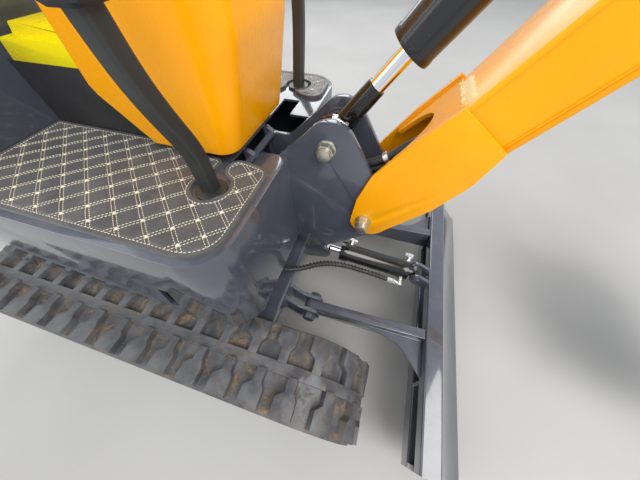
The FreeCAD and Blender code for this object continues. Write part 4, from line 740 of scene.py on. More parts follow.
class SpiralGuard(Tree):
    """Winds a plastic spiral round every line of a mesh of edges, as on a guarded hose."""

    def __init__(self) -> None:
        """Build the tree."""
        super().__init__("spiral_guard")
        pitch = self.ask("Pitch", "Float", 0.007)
        reach = self.ask("Reach", "Float", 0.007)
        strand = self.ask("Strand", "Float", 0.002)
        finish = self.ask("Finish", "Material")
        lines = self.node("GeometryNodeMeshToCurve", {"Mesh": self.way_in.outputs[0]})
        step = self.math("DIVIDE", pitch, 12.0)
        fine = self.node("GeometryNodeResampleCurve", {"Curve": lines.outputs[0], "Length": step}, mode="LENGTH")
        place = self.node("GeometryNodeSplineParameter")
        turns = self.math("MULTIPLY", self.math("DIVIDE", place.outputs["Length"], pitch), math.tau)
        wound = self.node("GeometryNodeSetCurveTilt", {"Curve": fine.outputs[0], "Tilt": turns})
        ring = self.node("GeometryNodeCurvePrimitiveCircle", {"Resolution": 6, "Radius": strand}, mode="RADIUS")
        shift = self.node("ShaderNodeCombineXYZ", {"X": reach})
        off = self.node("GeometryNodeTransform", {"Geometry": ring.outputs[0], "Translation": shift.outputs[0]})
        tube = self.node("GeometryNodeCurveToMesh", {
            "Curve": wound.outputs[0], "Profile Curve": off.outputs[0], "Fill Caps": True,
        })
        soft = self.node("GeometryNodeSetShadeSmooth", {"Geometry": tube.outputs[0], "Shade Smooth": True})
        self.close(soft.outputs[0], finish)


class Outline:
    """A closed outline in X and Y, with the distance of any point from it."""

    def __init__(self, points: np.ndarray, step: float) -> None:
        """Divide the outline evenly and soften its corners.

        Args:
            points: The corners, in order.
            step: The distance between the points that are kept.
        """
        ends = np.roll(points, -1, axis=0)
        lengths = np.hypot(*(ends - points).T)
        total = lengths.sum()
        marks = np.concatenate(([0.0], np.cumsum(lengths)))
        places = np.linspace(0.0, total, max(8, int(total / step)), endpoint=False)
        closed = np.vstack((points, points[:1]))
        even = np.column_stack([np.interp(places, marks, closed[:, k]) for k in (0, 1)])
        for _ in range(3):
            even = 0.5 * even + 0.25 * (np.roll(even, 1, axis=0) + np.roll(even, -1, axis=0))
        if self.signed_area(even) < 0.0:
            even = even[::-1]
        self.points = even

    @staticmethod
    def signed_area(points: np.ndarray) -> float:
        """Give the outline's area, which is negative when it runs clockwise."""
        following = np.roll(points, -1, axis=0)
        return float(np.sum(points[:, 0] * following[:, 1] - following[:, 0] * points[:, 1]) / 2.0)

    def inward(self) -> np.ndarray:
        """Give the unit normals that point inwards."""
        along = np.roll(self.points, -1, axis=0) - np.roll(self.points, 1, axis=0)
        normals = np.column_stack((-along[:, 1], along[:, 0]))
        return normals / np.hypot(*normals.T)[:, None]

    def distance(self, where: np.ndarray) -> np.ndarray:
        """Give the distance of points from the outline."""
        starts = self.points
        spans = np.roll(starts, -1, axis=0) - starts
        squares = np.maximum((spans ** 2).sum(axis=1), 1e-12)
        best = np.full(len(where), np.inf)
        for start, span, square in zip(starts, spans, squares):
            offset = where - start
            share = np.clip((offset @ span) / square, 0.0, 1.0)
            gap = offset - share[:, None] * span
            best = np.minimum(best, (gap ** 2).sum(axis=1))
        return np.sqrt(best)

    def inside(self, where: np.ndarray) -> np.ndarray:
        """Say which points lie inside the outline."""
        odd = np.zeros(len(where), dtype=bool)
        for (x1, y1), (x2, y2) in zip(self.points, np.roll(self.points, -1, axis=0)):
            if y1 == y2:
                continue
            crosses = (y1 > where[:, 1]) != (y2 > where[:, 1])
            reach = (x2 - x1) * (where[:, 1] - y1) / (y2 - y1) + x1
            odd ^= crosses & (where[:, 0] < reach)
        return odd

    def ring(self, depth: float) -> np.ndarray:
        """Give the points of a ring inside the outline, without those that a tight bend folds over."""
        moved = self.points + self.inward() * depth
        return moved[self.distance(moved) > depth - 0.2 * MM]


def top_loop(mesh: bpy.types.Mesh) -> np.ndarray:
    """Find the outer edge of a flat piece's top face.

    Args:
        mesh: The piece's mesh.

    Returns:
        The corners of the edge in order, in X and Y.
    """
    work = bmesh.new()
    work.from_mesh(mesh)
    bmesh.ops.remove_doubles(work, verts=work.verts, dist=0.02 * MM)
    top = max(vertex.co.z for vertex in work.verts) - 0.1 * MM
    flat = {face for face in work.faces if all(vertex.co.z > top for vertex in face.verts)}
    following: dict[int, tuple[int, Vector]] = {}
    for face in flat:
        for loop in face.loops:
            if sum(other in flat for other in loop.edge.link_faces) == 1:
                following[loop.vert.index] = (loop.link_loop_next.vert.index, loop.vert.co.copy())
    loops = []
    while following:
        start = next(iter(following))
        here, points = start, []
        while here in following:
            after, spot = following.pop(here)
            points.append((spot.x, spot.y))
            here = after
        loops.append(np.array(points))
    work.free()
    return max(loops, key=lambda points: abs(Outline.signed_area(points)))


@dataclass
class QuiltedMat:
    """A padded leatherette mat: sewn in diamonds by double rows of thread, with a bound edge."""

    frame: dict
    finishes: Finishes
    stitches: Stitches
    scatter: Scatter
    half_diamond: tuple[float, float] = (27.0 * MM, 24.5 * MM)
    crossing: tuple[float, float] = (214.8 * MM, 252.6 * MM)
    outer_gap: float = 4.0 * MM
    row_gap: float = 2.6 * MM
    puff: float = 2.4 * MM
    edge_row: float = 8.0 * MM
    grid: float = 2.6 * MM
    rings: tuple[float, ...] = (0.7 * MM, 1.8 * MM, 3.2 * MM, 5.0 * MM, 6.6 * MM, 8.4 * MM, 10.4 * MM)

    def diamond(self, where: np.ndarray, side: Side) -> tuple[np.ndarray, np.ndarray]:
        """Give two coordinates that are whole numbers on the two families of seams."""
        across = (where[:, 0] - self.crossing[0]) / self.half_diamond[0]
        along = (where[:, 1] - side.value * self.crossing[1]) / self.half_diamond[1]
        return (across + along) / 2.0, (across - along) / 2.0

    def height(self, where: np.ndarray, depth: np.ndarray, side: Side) -> np.ndarray:
        """Give the surface's height above the mat's flat top.

        Args:
            where: Points in X and Y.
            depth: Their distances from the mat's edge.
            side: The side that the mat lies on.

        Returns:
            Heights, at most a little above zero.
        """
        u, v = self.diamond(where, side)
        crown = np.abs(np.sin(math.pi * u)) * np.abs(np.sin(math.pi * v))
        quilt = self.puff * (crown ** 0.4 - 1.0)
        band = 4.2 * MM
        roll = np.clip(1.0 - ((depth - band) / band) ** 2, 0.0, 1.0)
        bound = -5.0 * MM + 5.4 * MM * np.sqrt(np.maximum(roll, 0.0))
        share = np.clip((depth - 7.6 * MM) / (3.0 * MM), 0.0, 1.0)
        share = share * share * (3.0 - 2.0 * share)
        inner = (1.0 - share) * -2.2 * MM + share * quilt
        return np.where(depth < 7.4 * MM, np.maximum(bound, -2.4 * MM * (depth > band)), inner)

    def surface(self, outline: Outline, side: Side, top: float, bottom: float) -> bpy.types.Mesh:
        """Make the mat's closed mesh."""
        rings = [outline.ring(depth) for depth in self.rings]
        low, high = outline.points.min(axis=0), outline.points.max(axis=0)
        columns = [np.arange(low[k], high[k], self.grid) for k in (0, 1)]
        grid = np.stack(np.meshgrid(*columns), axis=-1).reshape(-1, 2)
        grid = grid[outline.inside(grid)]
        grid = grid[outline.distance(grid) > self.rings[-1] + 0.4 * self.grid]
        edge = outline.points
        everything = np.vstack([edge, *rings, grid])
        loop = [list(range(len(edge)))]
        spots, _, faces, *_ = delaunay_2d_cdt([Vector(p) for p in everything], [], loop, 1, 1e-7)
        flat = np.array([tuple(p) for p in spots])
        depth = outline.distance(flat)
        heights = top + self.height(flat, depth, side)
        points = [(x, y, z) for (x, y), z in zip(flat, heights)]
        count = len(points)
        points.extend((x, y, bottom) for x, y in flat[: len(edge)])
        polygons = [tuple(face) for face in faces]
        size = len(edge)
        for k in range(size):
            following = (k + 1) % size
            polygons.append((k, count + k, count + following, following))
        polygons.append(tuple(count + k for k in reversed(range(size))))
        mesh = bpy.data.meshes.new("mat")
        mesh.from_pydata(points, [], polygons)
        mesh.validate()
        smooth_by_angle(mesh, 55.0)
        return mesh

    def seam_lines(self, outline: Outline, side: Side, top: float) -> tuple[list[list[Point]], list[Point]]:
        """Trace the double rows of thread and the crossings of the quilting.

        Returns:
            The rows, and the crossings.
        """
        low, high = outline.points.min(axis=0), outline.points.max(axis=0)
        rows: list[list[Point]] = []
        reach = int(max(high - low) / min(self.half_diamond)) + 12
        origin = np.array((self.crossing[0], side.value * self.crossing[1]))
        for slope in (1.0, -1.0):
            way = np.array((self.half_diamond[0], slope * self.half_diamond[1]))
            normal = np.array((-way[1], way[0])) / np.hypot(*way)
            for number in range(-reach, reach + 1):
                foot = origin + np.array((2.0 * number * self.half_diamond[0], 0.0))
                for shift in (-self.row_gap, self.row_gap):
                    marks = np.arange(-reach, reach, 0.06)
                    line = foot + shift * normal + marks[:, None] * way
                    rows.extend(self.runs(line, outline, side, top))
        marks = np.stack(np.meshgrid(np.arange(-reach, reach), np.arange(-reach, reach)), axis=-1).reshape(-1, 2)
        marks = marks[(marks.sum(axis=1) % 2) == 0]
        knots = origin + marks * np.array(self.half_diamond)
        knots = knots[outline.inside(knots)]
        knots = knots[outline.distance(knots) > self.edge_row + 2.0 * MM]
        heights = top + self.height(knots, outline.distance(knots), side)
        return rows, [(x, y, z) for (x, y), z in zip(knots, heights)]

    def runs(self, line: np.ndarray, outline: Outline, side: Side, top: float) -> list[list[Point]]:
        """Cut a straight row into the runs that lie on the mat, and lay them on its surface."""
        inside = outline.inside(line)
        kept = np.zeros(len(line), dtype=bool)
        kept[inside] = outline.distance(line[inside]) > self.edge_row
        runs, run = [], []
        for spot, good in zip(line, kept):
            if good:
                run.append(spot)
            elif len(run) > 4:
                runs.append(run)
                run = []
            else:
                run = []
        if len(run) > 4:
            runs.append(run)
        laid = []
        for run in runs:
            flat = np.array(run)
            heights = top + 0.35 * MM + self.height(flat, outline.distance(flat), side)
            laid.append([(x, y, z) for (x, y), z in zip(flat, heights)])
        return laid

    def build(self, node: str, side: Side) -> None:
        """Make one mat with its threads.

        Args:
            node: The node that the mat replaces.
            side: The side that it lies on.
        """
        source = self.frame["nodes"][node]
        low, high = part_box(node)
        corners = top_loop(source.data)
        outer = np.clip((np.abs(corners[:, 1]) - 0.27) / 0.05, 0.0, 1.0)
        corners[:, 1] -= np.sign(corners[:, 1]) * self.outer_gap * outer
        outline = Outline(corners, 2.4 * MM)
        mesh = self.surface(outline, side, high[2], low[2])
        body = source["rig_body"]
        piece = show(node + "_quilted", mesh, body, self.finishes["mat"])
        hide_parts(node)
        rows, knots = self.seam_lines(outline, side, high[2])
        thread = self.finishes["thread"]
        sewn = self.stitches.apply(lines_mesh(rows), Step=5.2 * MM, Length=4.6 * MM, Width=1.3 * MM, Finish=thread)
        show(node + "_thread", sewn, body, thread)
        hem = outline.points + outline.inward() * (self.edge_row - 1.0 * MM)
        hem = hem[outline.distance(hem) > self.edge_row - 1.4 * MM]
        hem_top = high[2] - 0.6 * MM
        border = [[(x, y, hem_top) for x, y in np.vstack((hem, hem[:1]))]]
        dashes = self.stitches.apply(lines_mesh(border), Step=6.4 * MM, Length=5.0 * MM, Width=1.5 * MM, Finish=thread)
        show(node + "_border_thread", dashes, body, thread)
        ball = ball_mesh(0.5, 2)
        size = (5.6 * MM, 5.6 * MM, 2.2 * MM)
        dots = [Spot(at=(x, y, z + 0.5 * MM), size=size) for x, y, z in knots]
        show(node + "_knots", self.scatter.place(ball, dots, thread), body, thread)


def ball_mesh(radius: float, divisions: int) -> bpy.types.Mesh:
    """Make a ball of few faces."""
    work = bmesh.new()
    bmesh.ops.create_icosphere(work, subdivisions=divisions, radius=radius)
    mesh = bpy.data.meshes.new("ball")
    work.to_mesh(mesh)
    work.free()
    return mesh


def merged(meshes: Iterable[bpy.types.Mesh]) -> bpy.types.Mesh:
    """Put several meshes into one."""
    work = bmesh.new()
    for mesh in meshes:
        work.from_mesh(mesh)
    bmesh.ops.recalc_face_normals(work, faces=work.faces)
    whole = bpy.data.meshes.new("merged")
    work.to_mesh(whole)
    work.free()
    smooth_by_angle(whole, 32.0)
    return whole


def millimetres(*values: float) -> Point:
    """Turn a place in millimetres into metres."""
    return tuple(value * MM for value in values)


def lofted(rings: Sequence[Sequence[Vector]]) -> bpy.types.Mesh:
    """Join rings of points into a closed skin.

    Args:
        rings: Rings of the same number of points, in order.

    Returns:
        The closed mesh, smooth with its sharp edges kept.
    """
    work = bmesh.new()
    made = [[work.verts.new(point) for point in ring] for ring in rings]
    size = len(made[0])
    for low, high in zip(made, made[1:]):
        for k in range(size):
            after = (k + 1) % size
            work.faces.new((low[k], low[after], high[after], high[k]))
    work.faces.new(list(reversed(made[0])))
    work.faces.new(made[-1])
    bmesh.ops.recalc_face_normals(work, faces=work.faces)
    mesh = bpy.data.meshes.new("lofted")
    work.to_mesh(mesh)
    work.free()
    smooth_by_angle(mesh, 34.0)
    return mesh


def turned(stations: Sequence[tuple[float, float]], foot: Point, way: Point, sides: int = 28) -> bpy.types.Mesh:
    """Make a turned piece, or with six sides a nut.

    Args:
        stations: Distance from the foot and radius, in millimetres, from the foot outwards.
        foot: The start of its axis, in millimetres.
        way: The direction of its axis.
        sides: How many sides its section has.

    Returns:
        The closed mesh.
    """
    ahead = Vector(way).normalized()
    turn = ahead.to_track_quat("Z", "Y")
    start = Vector(millimetres(*foot))
    rings = []
    for distance, radius in stations:
        ring = []
        for k in range(sides):
            angle = math.tau * k / sides
            flat = Vector((math.cos(angle), math.sin(angle), 0.0)) * radius * MM
            ring.append(start + ahead * distance * MM + turn @ flat)
        rings.append(ring)
    return lofted(rings)


def rounded_box(half_x: float, half_y: float, radius: float, steps: int = 5) -> list[tuple[float, float]]:
    """Draw a rectangle with rounded corners, in millimetres."""
    points = []
    for quarter, (sx, sy) in enumerate(((1, 1), (-1, 1), (-1, -1), (1, -1))):
        for k in range(steps + 1):
            angle = math.radians(90.0 * (quarter + k / steps))
            points.append((sx * (half_x - radius) + radius * math.cos(angle),
                           sy * (half_y - radius) + radius * math.sin(angle)))
    return points


def spline(points: Sequence[Point], radius: float = 0.0, fineness: int = 10) -> bpy.types.Mesh:
    """Draw a smooth line near a few points, as a tube or as bare edges.

    Args:
        points: The control points, in millimetres.
        radius: The tube's radius in millimetres, or none for a mesh of edges.
        fineness: How finely the line is divided.

    Returns:
        The mesh.
    """
    curve = bpy.data.curves.new("route", "CURVE")
    curve.dimensions = "3D"
    curve.resolution_u = fineness
    curve.bevel_depth = radius * MM
    curve.bevel_resolution = 4
    curve.use_fill_caps = radius > 0.0
    run = curve.splines.new("NURBS")
    run.points.add(len(points) - 1)
    for point, place in zip(run.points, points):
        point.co = (*millimetres(*place), 1.0)
    run.order_u = 3
    run.use_endpoint_u = True
    piece = bpy.data.objects.new("route", curve)
    bpy.context.scene.collection.objects.link(piece)
    mesh = evaluated(piece)
    bpy.data.objects.remove(piece)
    if radius > 0.0:
        mesh.shade_smooth()
    return mesh


@dataclass
class Hoses:
    """The hydraulic hoses that show: three from under the floor into the boom, one to the blade's cylinder."""

    finishes: Finishes
    guard: SpiralGuard
    boom_radius: float = 7.5
    boom_places: tuple[Point, ...] = ((-1.0, 0.0, 0.0), (-0.97, 6.0, -14.5), (-0.94, 12.0, -29.0))
    boom_route: tuple[Point, ...] = (
        (284.0, 26.0, 470.0), (290.0, 28.0, 540.0), (322.0, 31.0, 590.0), (390.0, 31.0, 610.0), (455.0, 31.0, 618.0),
        (500.0, 31.0, 634.0), (530.0, 30.0, 653.0), (556.0, 26.0, 678.0), (584.0, 20.0, 698.0), (616.0, 14.0, 714.0),
        (650.0, 10.0, 726.0),
    )
    blade_radius: float = 6.5
    blade_route: tuple[Point, ...] = (
        (622.0, -48.0, 246.0), (596.0, -45.0, 249.0), (533.0, -41.0, 250.0), (478.0, -46.0, 262.0),
        (430.0, -61.0, 276.0), (396.0, -84.0, 290.0), (366.0, -112.0, 299.0), (322.0, -134.0, 304.0),
        (262.0, -128.0, 306.0), (196.0, -96.0, 306.0),
    )

    def boom_hoses(self) -> None:
        """Lay the hoses that pass between the support plates into the boom's mouth."""
        tubes = []
        for side, shift, lift in self.boom_places:
            route = [(x + shift, side * y, z + lift) for x, y, z in self.boom_route]
            tubes.append(spline(route, self.boom_radius))
        piece = show("boom_hoses", merged(tubes), None, self.finishes["hose"])
        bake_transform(piece)
        band = turned([(0, 9.4), (0.5, 10.0), (8.5, 10.0), (9, 9.4)], (520.0, -30.5, 647.0),
                      (0.76, 0.03, 0.64), 24)
        clamp = show("boom_hose_clamp", band, None, self.finishes["white_zinc"])
        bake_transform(clamp)

    def blade_hose(self) -> None:
        """Lay the guarded hose from the swivel to the blade's cylinder, with its elbow and its end fitting."""
        hose = spline(self.blade_route, self.blade_radius)
        show("blade_hose", hose, "undercarriage", self.finishes["hose"])
        line = spline(self.blade_route[1:])
        wound = self.guard.apply(line, Pitch=11.0 * MM, Reach=7.6 * MM, Strand=2.6 * MM,
                                 Finish=self.finishes["black_plastic"])
        show("blade_hose_guard", wound, "undercarriage", self.finishes["guard"])
        ends = [
            turned([(0, 8.2), (16, 8.2), (17, 7.0), (26, 7.0)], (612.0, -46.6, 247.5), (1.0, -0.06, -0.08), 6),
            turned([(0, 5.5), (14, 5.5)], (634.0, -48.5, 245.0), (1.0, 0.0, 0.0)),
            turned([(0, 7.5), (1, 8.4), (13, 8.4), (14, 7.5)], (650.0, -58.0, 245.0), (0.0, 1.0, 0.0), 20),
            turned([(0, 5.5), (26, 5.5)], (650.0, -50.0, 245.0), (0.05, 1.0, 0.03)),
            turned([(0, 8.5), (9, 8.5)], (650.0, -38.0, 245.5), (0.05, 1.0, 0.03), 6),
            turned([(0, 9.0), (12, 9.0)], (188.0, -93.0, 306.0), (1.0, -0.4, 0.0), 6),
        ]
        show("blade_hose_fittings", merged(ends), "undercarriage", self.finishes["white_zinc"])
        far = [
            turned([(0, 7.0), (14, 7.0)], (482.0, 22.0, 281.0), (0.0, 0.85, 0.5)),
            turned([(0, 8.0), (11, 8.0), (12, 6.0), (25, 6.0), (26, 5.0)], (474.0, 37.0, 289.0), (1.0, -0.12, -0.1), 6),
            turned([(0, 8.5), (9, 8.5)], (664.0, 22.0, 258.0), (0.2, 1.0, 0.5), 6),
            turned([(0, 6.0), (22, 6.0)], (664.0, 24.0, 258.0), (0.2, 1.0, 0.5)),
            turned([(0, 8.0), (16, 8.0), (17, 6.5), (24, 6.5)], (676.0, 42.0, 268.0), (-1.0, 0.1, 0.1), 6),
        ]
        show("blade_cylinder_port", merged(far), "blade_barrel", self.finishes["white_zinc"])

    def build(self) -> None:
        """Make every hose."""
        self.boom_hoses()
        self.blade_hose()


@dataclass
class PaddedSeat:
    """The seat's cushion and back: vinyl over foam, swollen by a cloth simulation and then sewn in channels."""

    frame: dict
    finishes: Finishes
    stitches: Stitches
    voxel: float = 6.0 * MM
    shrink: float = 7.0 * MM
    pressure: float = 4.0
    cap: float = 13.0 * MM
    side_seam: float = 138.0 * MM
    channel_pitch: float = 62.0 * MM
    channel_depth: float = 6.0 * MM
    channel_width: float = 5.0 * MM
    back_lean: float = 10.0

    def foam(self, node: str) -> bpy.types.Mesh:
        """Remesh a slightly smaller copy of the node's solid."""
        mesh = self.frame["nodes"][node].data.copy()
        work = bmesh.new()
        work.from_mesh(mesh)
        bmesh.ops.remove_doubles(work, verts=work.verts, dist=0.02 * MM)
        low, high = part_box(node)
        middle = (low + high) / 2.0
        for vertex in work.verts:
            for k in range(3):
                share = 1.0 - 2.0 * self.shrink / (high[k] - low[k])
                vertex.co[k] = middle[k] + (vertex.co[k] - middle[k]) * share
        work.to_mesh(mesh)
        work.free()
        piece = spare(mesh)
        remesh = piece.modifiers.new("even", "REMESH")
        remesh.mode = "VOXEL"
        remesh.voxel_size = self.voxel
        even = evaluated(piece)
        bpy.data.objects.remove(piece)
        return even

    def swell(self, mesh: bpy.types.Mesh) -> None:
        """Blow the foam up by pressure, with each point's way capped."""
        piece = spare(mesh)
        rest = np.empty(len(mesh.vertices) * 3)
        mesh.vertices.foreach_get("co", rest)
        cloth = piece.modifiers.new("cloth", "CLOTH")
        cloth.settings.use_pressure = True
        cloth.settings.uniform_pressure_force = self.pressure
        cloth.settings.effector_weights.gravity = 0.0
        scene = bpy.context.scene
        for step in range(1, 21):
            scene.frame_set(step)
        blown = evaluated(piece)
        scene.frame_set(1)
        moved = np.empty_like(rest)
        blown.vertices.foreach_get("co", moved)
        bpy.data.objects.remove(piece)
        way = (moved - rest).reshape(-1, 3)
        length = np.linalg.norm(way, axis=1)
        share = np.minimum(1.0, self.cap / np.maximum(length, 1e-9))
        mesh.vertices.foreach_set("co", (rest.reshape(-1, 3) + way * share[:, None]).ravel())
        mesh.update()

    def finer(self, mesh: bpy.types.Mesh) -> bpy.types.Mesh:
        """Add one subdivision."""
        piece = spare(mesh)
        finer = piece.modifiers.new("finer", "SUBSURF")
        finer.levels = finer.render_levels = 1
        result = evaluated(piece)
        bpy.data.objects.remove(piece)
        return result

    def sew(self, mesh: bpy.types.Mesh, up: Vector, along: Vector, origin: Vector) -> None:
        """Pull the channels in: two along the sides and several across between them.

        Args:
            mesh: The swollen foam.
            up: The direction that the sewn face looks at.
            along: The direction across which the channels run.
            origin: A point of the face's middle line.
        """
        count = len(mesh.vertices)
        spots, normals = np.empty(count * 3), np.empty(count * 3)
        mesh.vertices.foreach_get("co", spots)
        mesh.vertex_normals.foreach_get("vector", normals)
        spots, normals = spots.reshape(-1, 3), normals.reshape(-1, 3)
        facing = np.clip((normals @ np.array(up) - 0.3) / 0.4, 0.0, 1.0)
        local = (spots - np.array(origin)) @ np.array(along)
        across = np.abs(spots[:, 1])
        width = self.channel_width
        sides = np.exp(-(((across - self.side_seam) / width) ** 2))
        nearest = np.abs((local / self.channel_pitch) - np.round(local / self.channel_pitch)) * self.channel_pitch
        rows = np.exp(-((nearest / width) ** 2)) * np.clip((self.side_seam - across) / width, 0.0, 1.0)
        crown = np.clip((self.side_seam - across) / self.side_seam, 0.0, 1.0) * 0.004
        depth = facing * (self.channel_depth * np.maximum(sides, rows) + crown)
        welt = np.exp(-((((spots - np.array(origin)) @ np.array(up) + 0.024) / (0.8 * width)) ** 2))
        depth = np.maximum(depth, (1.0 - facing) * 0.6 * self.channel_depth * welt)
        mesh.vertices.foreach_set("co", (spots - normals * depth[:, None]).ravel())
        mesh.update()

    def seams(self, mesh: bpy.types.Mesh, up: Vector, along: Vector, origin: Vector, reach: float) -> bpy.types.Mesh:
        """Lay threads on both sides of the side seams, on the surface itself."""
        tree = BVHTree.FromPolygons([v.co for v in mesh.vertices], [p.vertices for p in mesh.polygons])
        rows = []
        for side in Side:
            for shift in (-4.5 * MM, 4.5 * MM):
                row = []
                for place in np.arange(-reach, reach, 4.0 * MM):
                    start = origin + along * place + up * 0.08
                    start = start + Vector((0.0, side.value * (self.side_seam + shift) - start.y, 0.0))
                    spot = tree.ray_cast(start, -up)[0]
                    if spot is not None and (start - spot).length < 0.14:
                        row.append(tuple(spot + up * 0.0003))
                if len(row) > 3:
                    rows.append(row)
        return self.stitches.apply(lines_mesh(rows), Step=5.6 * MM, Length=4.2 * MM, Width=1.1 * MM,
                                   Finish=self.finishes["black_thread"])

    def build(self) -> None:
        """Make the cushion and the back."""
        lean = math.radians(self.back_lean)
        ways = {
            "seat_cushion": (Vector((0.0, 0.0, 1.0)), Vector((1.0, 0.0, 0.0))),
            "seat_back": (Vector((math.cos(lean), 0.0, math.sin(lean))),
                          Vector((-math.sin(lean), 0.0, math.cos(lean)))),
        }
        for node, (up, along) in ways.items():
            low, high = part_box(node)
            middle = (low + high) / 2.0
            mesh = self.foam(node)
            self.swell(mesh)
            mesh = self.finer(mesh)
            spots = np.array([tuple(v.co) for v in mesh.vertices])
            top = float(((spots - np.array(middle)) @ np.array(up)).max())
            origin = middle + up * top
            self.sew(mesh, up, along, origin)
            mesh.shade_smooth()
            piece = show(node + "_padded", mesh, "house", self.finishes["vinyl"])
            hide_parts(node)
            thread = self.seams(mesh, up, along, origin, 0.16)
            show(node + "_thread", thread, "house", self.finishes["black_thread"])


@dataclass
class Controls:
    """The levers on the console: bellows, stems and grips, with a blank gauge and a key switch."""

    finishes: Finishes
    console_top: float = 1165.0
    sticks: tuple[tuple[float, float, float], ...] = ((150.0, -85.0, 150.0), (150.0, 85.0, 150.0))
    short: tuple[tuple[float, float, float], ...] = (
        (190.0, -28.0, 110.0), (190.0, 0.0, 110.0), (190.0, 28.0, 110.0),
    )

    def bellows(self, x: float, y: float, base: float, top: float, folds: int) -> bpy.types.Mesh:
        """Make one rubber boot with its folds."""
        stations = [(0.0, base + 3.0), (2.5, base + 3.0)]
        pitch = 30.0 / folds
        for fold in range(folds):
            radius = base + (top - base) * fold / folds
            stations.append((3.0 + pitch * fold, radius - 2.0))
            stations.append((3.0 + pitch * (fold + 0.5), radius + 1.0))
        stations.append((34.0, top))
        return turned(stations, (x, y, self.console_top), (0.0, 0.0, 1.0), 32)

    def build(self) -> None:
        """Make every lever and the console's small pieces."""
        soft, hard, chrome = [], [], []
        up = (0.0, 0.0, 1.0)
        for x, y, height in self.sticks:
            soft.append(self.bellows(x, y, 25.0, 9.0, 5))
            chrome.append(turned([(0, 5.5), (height - 60.0, 5.5)], (x, y, self.console_top + 20.0), up))
            low = self.console_top + height - 72.0
            hard.append(turned([
                (0, 8), (3, 12.5), (14, 14.5), (22, 13.2), (34, 14.8), (46, 14.0), (56, 15.8), (66, 15.0), (71, 11.0),
                (72, 6.0),
            ], (x, y, low), up, 32))
        for x, y, height in self.short:
            soft.append(self.bellows(x, y, 13.0, 6.5, 4))
            chrome.append(turned([(0, 4.5), (height - 40.0, 4.5)], (x, y, self.console_top + 20.0), up))
            low = self.console_top + height - 44.0
            hard.append(turned([(0, 6), (4, 9.5), (20, 11.5), (34, 11.8), (42, 9.0), (44, 4.0)], (x, y, low), up, 28))
        piece = show("lever_boots", merged(soft), "house", self.finishes["rubber_clean"])
        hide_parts("levers")
        show("lever_grips", merged(hard), "house", self.finishes["black_plastic"])
        show("lever_stems", merged(chrome), "house", self.finishes["chrome"])
        gauge = [
            turned([(-6, 29), (2, 29), (3.5, 27), (3.5, 24.5), (1.5, 24)], (235.0, -60.0, self.console_top - 1.0), up, 40),
            turned([(-6, 13), (2.5, 13), (3.5, 11.5), (3.5, 4), (2, 3.5)], (235.0, 20.0, self.console_top - 1.0), up, 28),
        ]
        show("console_gauge_and_switch", merged(gauge), "house", self.finishes["black_plastic"])


@dataclass
class Posts:
    """The canopy's front posts, of square tube with rounded corners, and their clamp collars."""

    finishes: Finishes
    half: float = 13.0
    corner: float = 5.5
    feet: tuple[tuple[Side, tuple[Point, ...]], ...] = (
        (Side.RIGHT, ((250.0, -184.0, 633.0), (250.0, -184.0, 672.0), (250.0, -184.0, 712.0),
                      (248.6, -203.0, 770.0), (248.0, -214.0, 815.0), (248.0, -219.0, 860.0),
                      (247.0, -224.0, 940.0), (222.0, -262.0, 2148.0))),
        (Side.LEFT, ((252.0, 245.0, 633.0), (252.0, 250.0, 655.0), (252.0, 264.0, 706.0), (251.0, 280.0, 762.0),
                     (250.0, 287.0, 830.0), (248.0, 288.0, 940.0), (222.0, 272.0, 2148.0))),
    )
    collar: tuple[tuple[float, float], ...] = (
        (872.0, 14.5), (872.5, 19.0), (876.0, 21.5), (884.0, 22.5), (914.0, 22.5), (920.0, 21.5), (922.0, 19.0),
    )

    def tube(self, places: Sequence[Point], nodes: str) -> bpy.types.Mesh:
        """Sweep the square section along one post."""
        line = spline(places, 0.0, 14)
        spots = [vertex.co.copy() for vertex in line.vertices]
        rings = []
        for k, spot in enumerate(spots):
            before, after = spots[max(0, k - 1)], spots[min(len(spots) - 1, k + 1)]
            ahead = (after - before).normalized()
            across = (Vector((1.0, 0.0, 0.0)) - ahead * ahead.x).normalized()
            side = ahead.cross(across)
            section = rounded_box(self.half, self.half, self.corner)
            rings.append([spot + (across * a + side * b) * MM for a, b in section])
        return lofted(rings)

    def build(self) -> None:
        """Make both posts and their collars."""
        collars = []
        for side, places in self.feet:
            word = side.name.lower()
            flange = turned([(0, 27), (5, 27), (6.5, 25.5), (7, 17)], (*places[0][:2], 632.0), (0, 0, 1), 40)
            post = merged([self.tube(places, word), flange])
            piece = show("post_tube_" + word, post, "house", self.finishes["post_black"])
            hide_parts("front_post_" + word)
            x = 248.0 if side is Side.RIGHT else 249.0
            y = -221.0 if side is Side.RIGHT else 287.0
            rings = []
            for z, half in self.collar:
                rings.append([Vector(millimetres(x + a, y + b, z)) for a, b in rounded_box(half, half, 8.0)])
            collars.append(lofted(rings))
        piece = show("post_collars_moulded", merged(collars), "house", self.finishes["black_plastic"])
        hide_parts("post_collars")


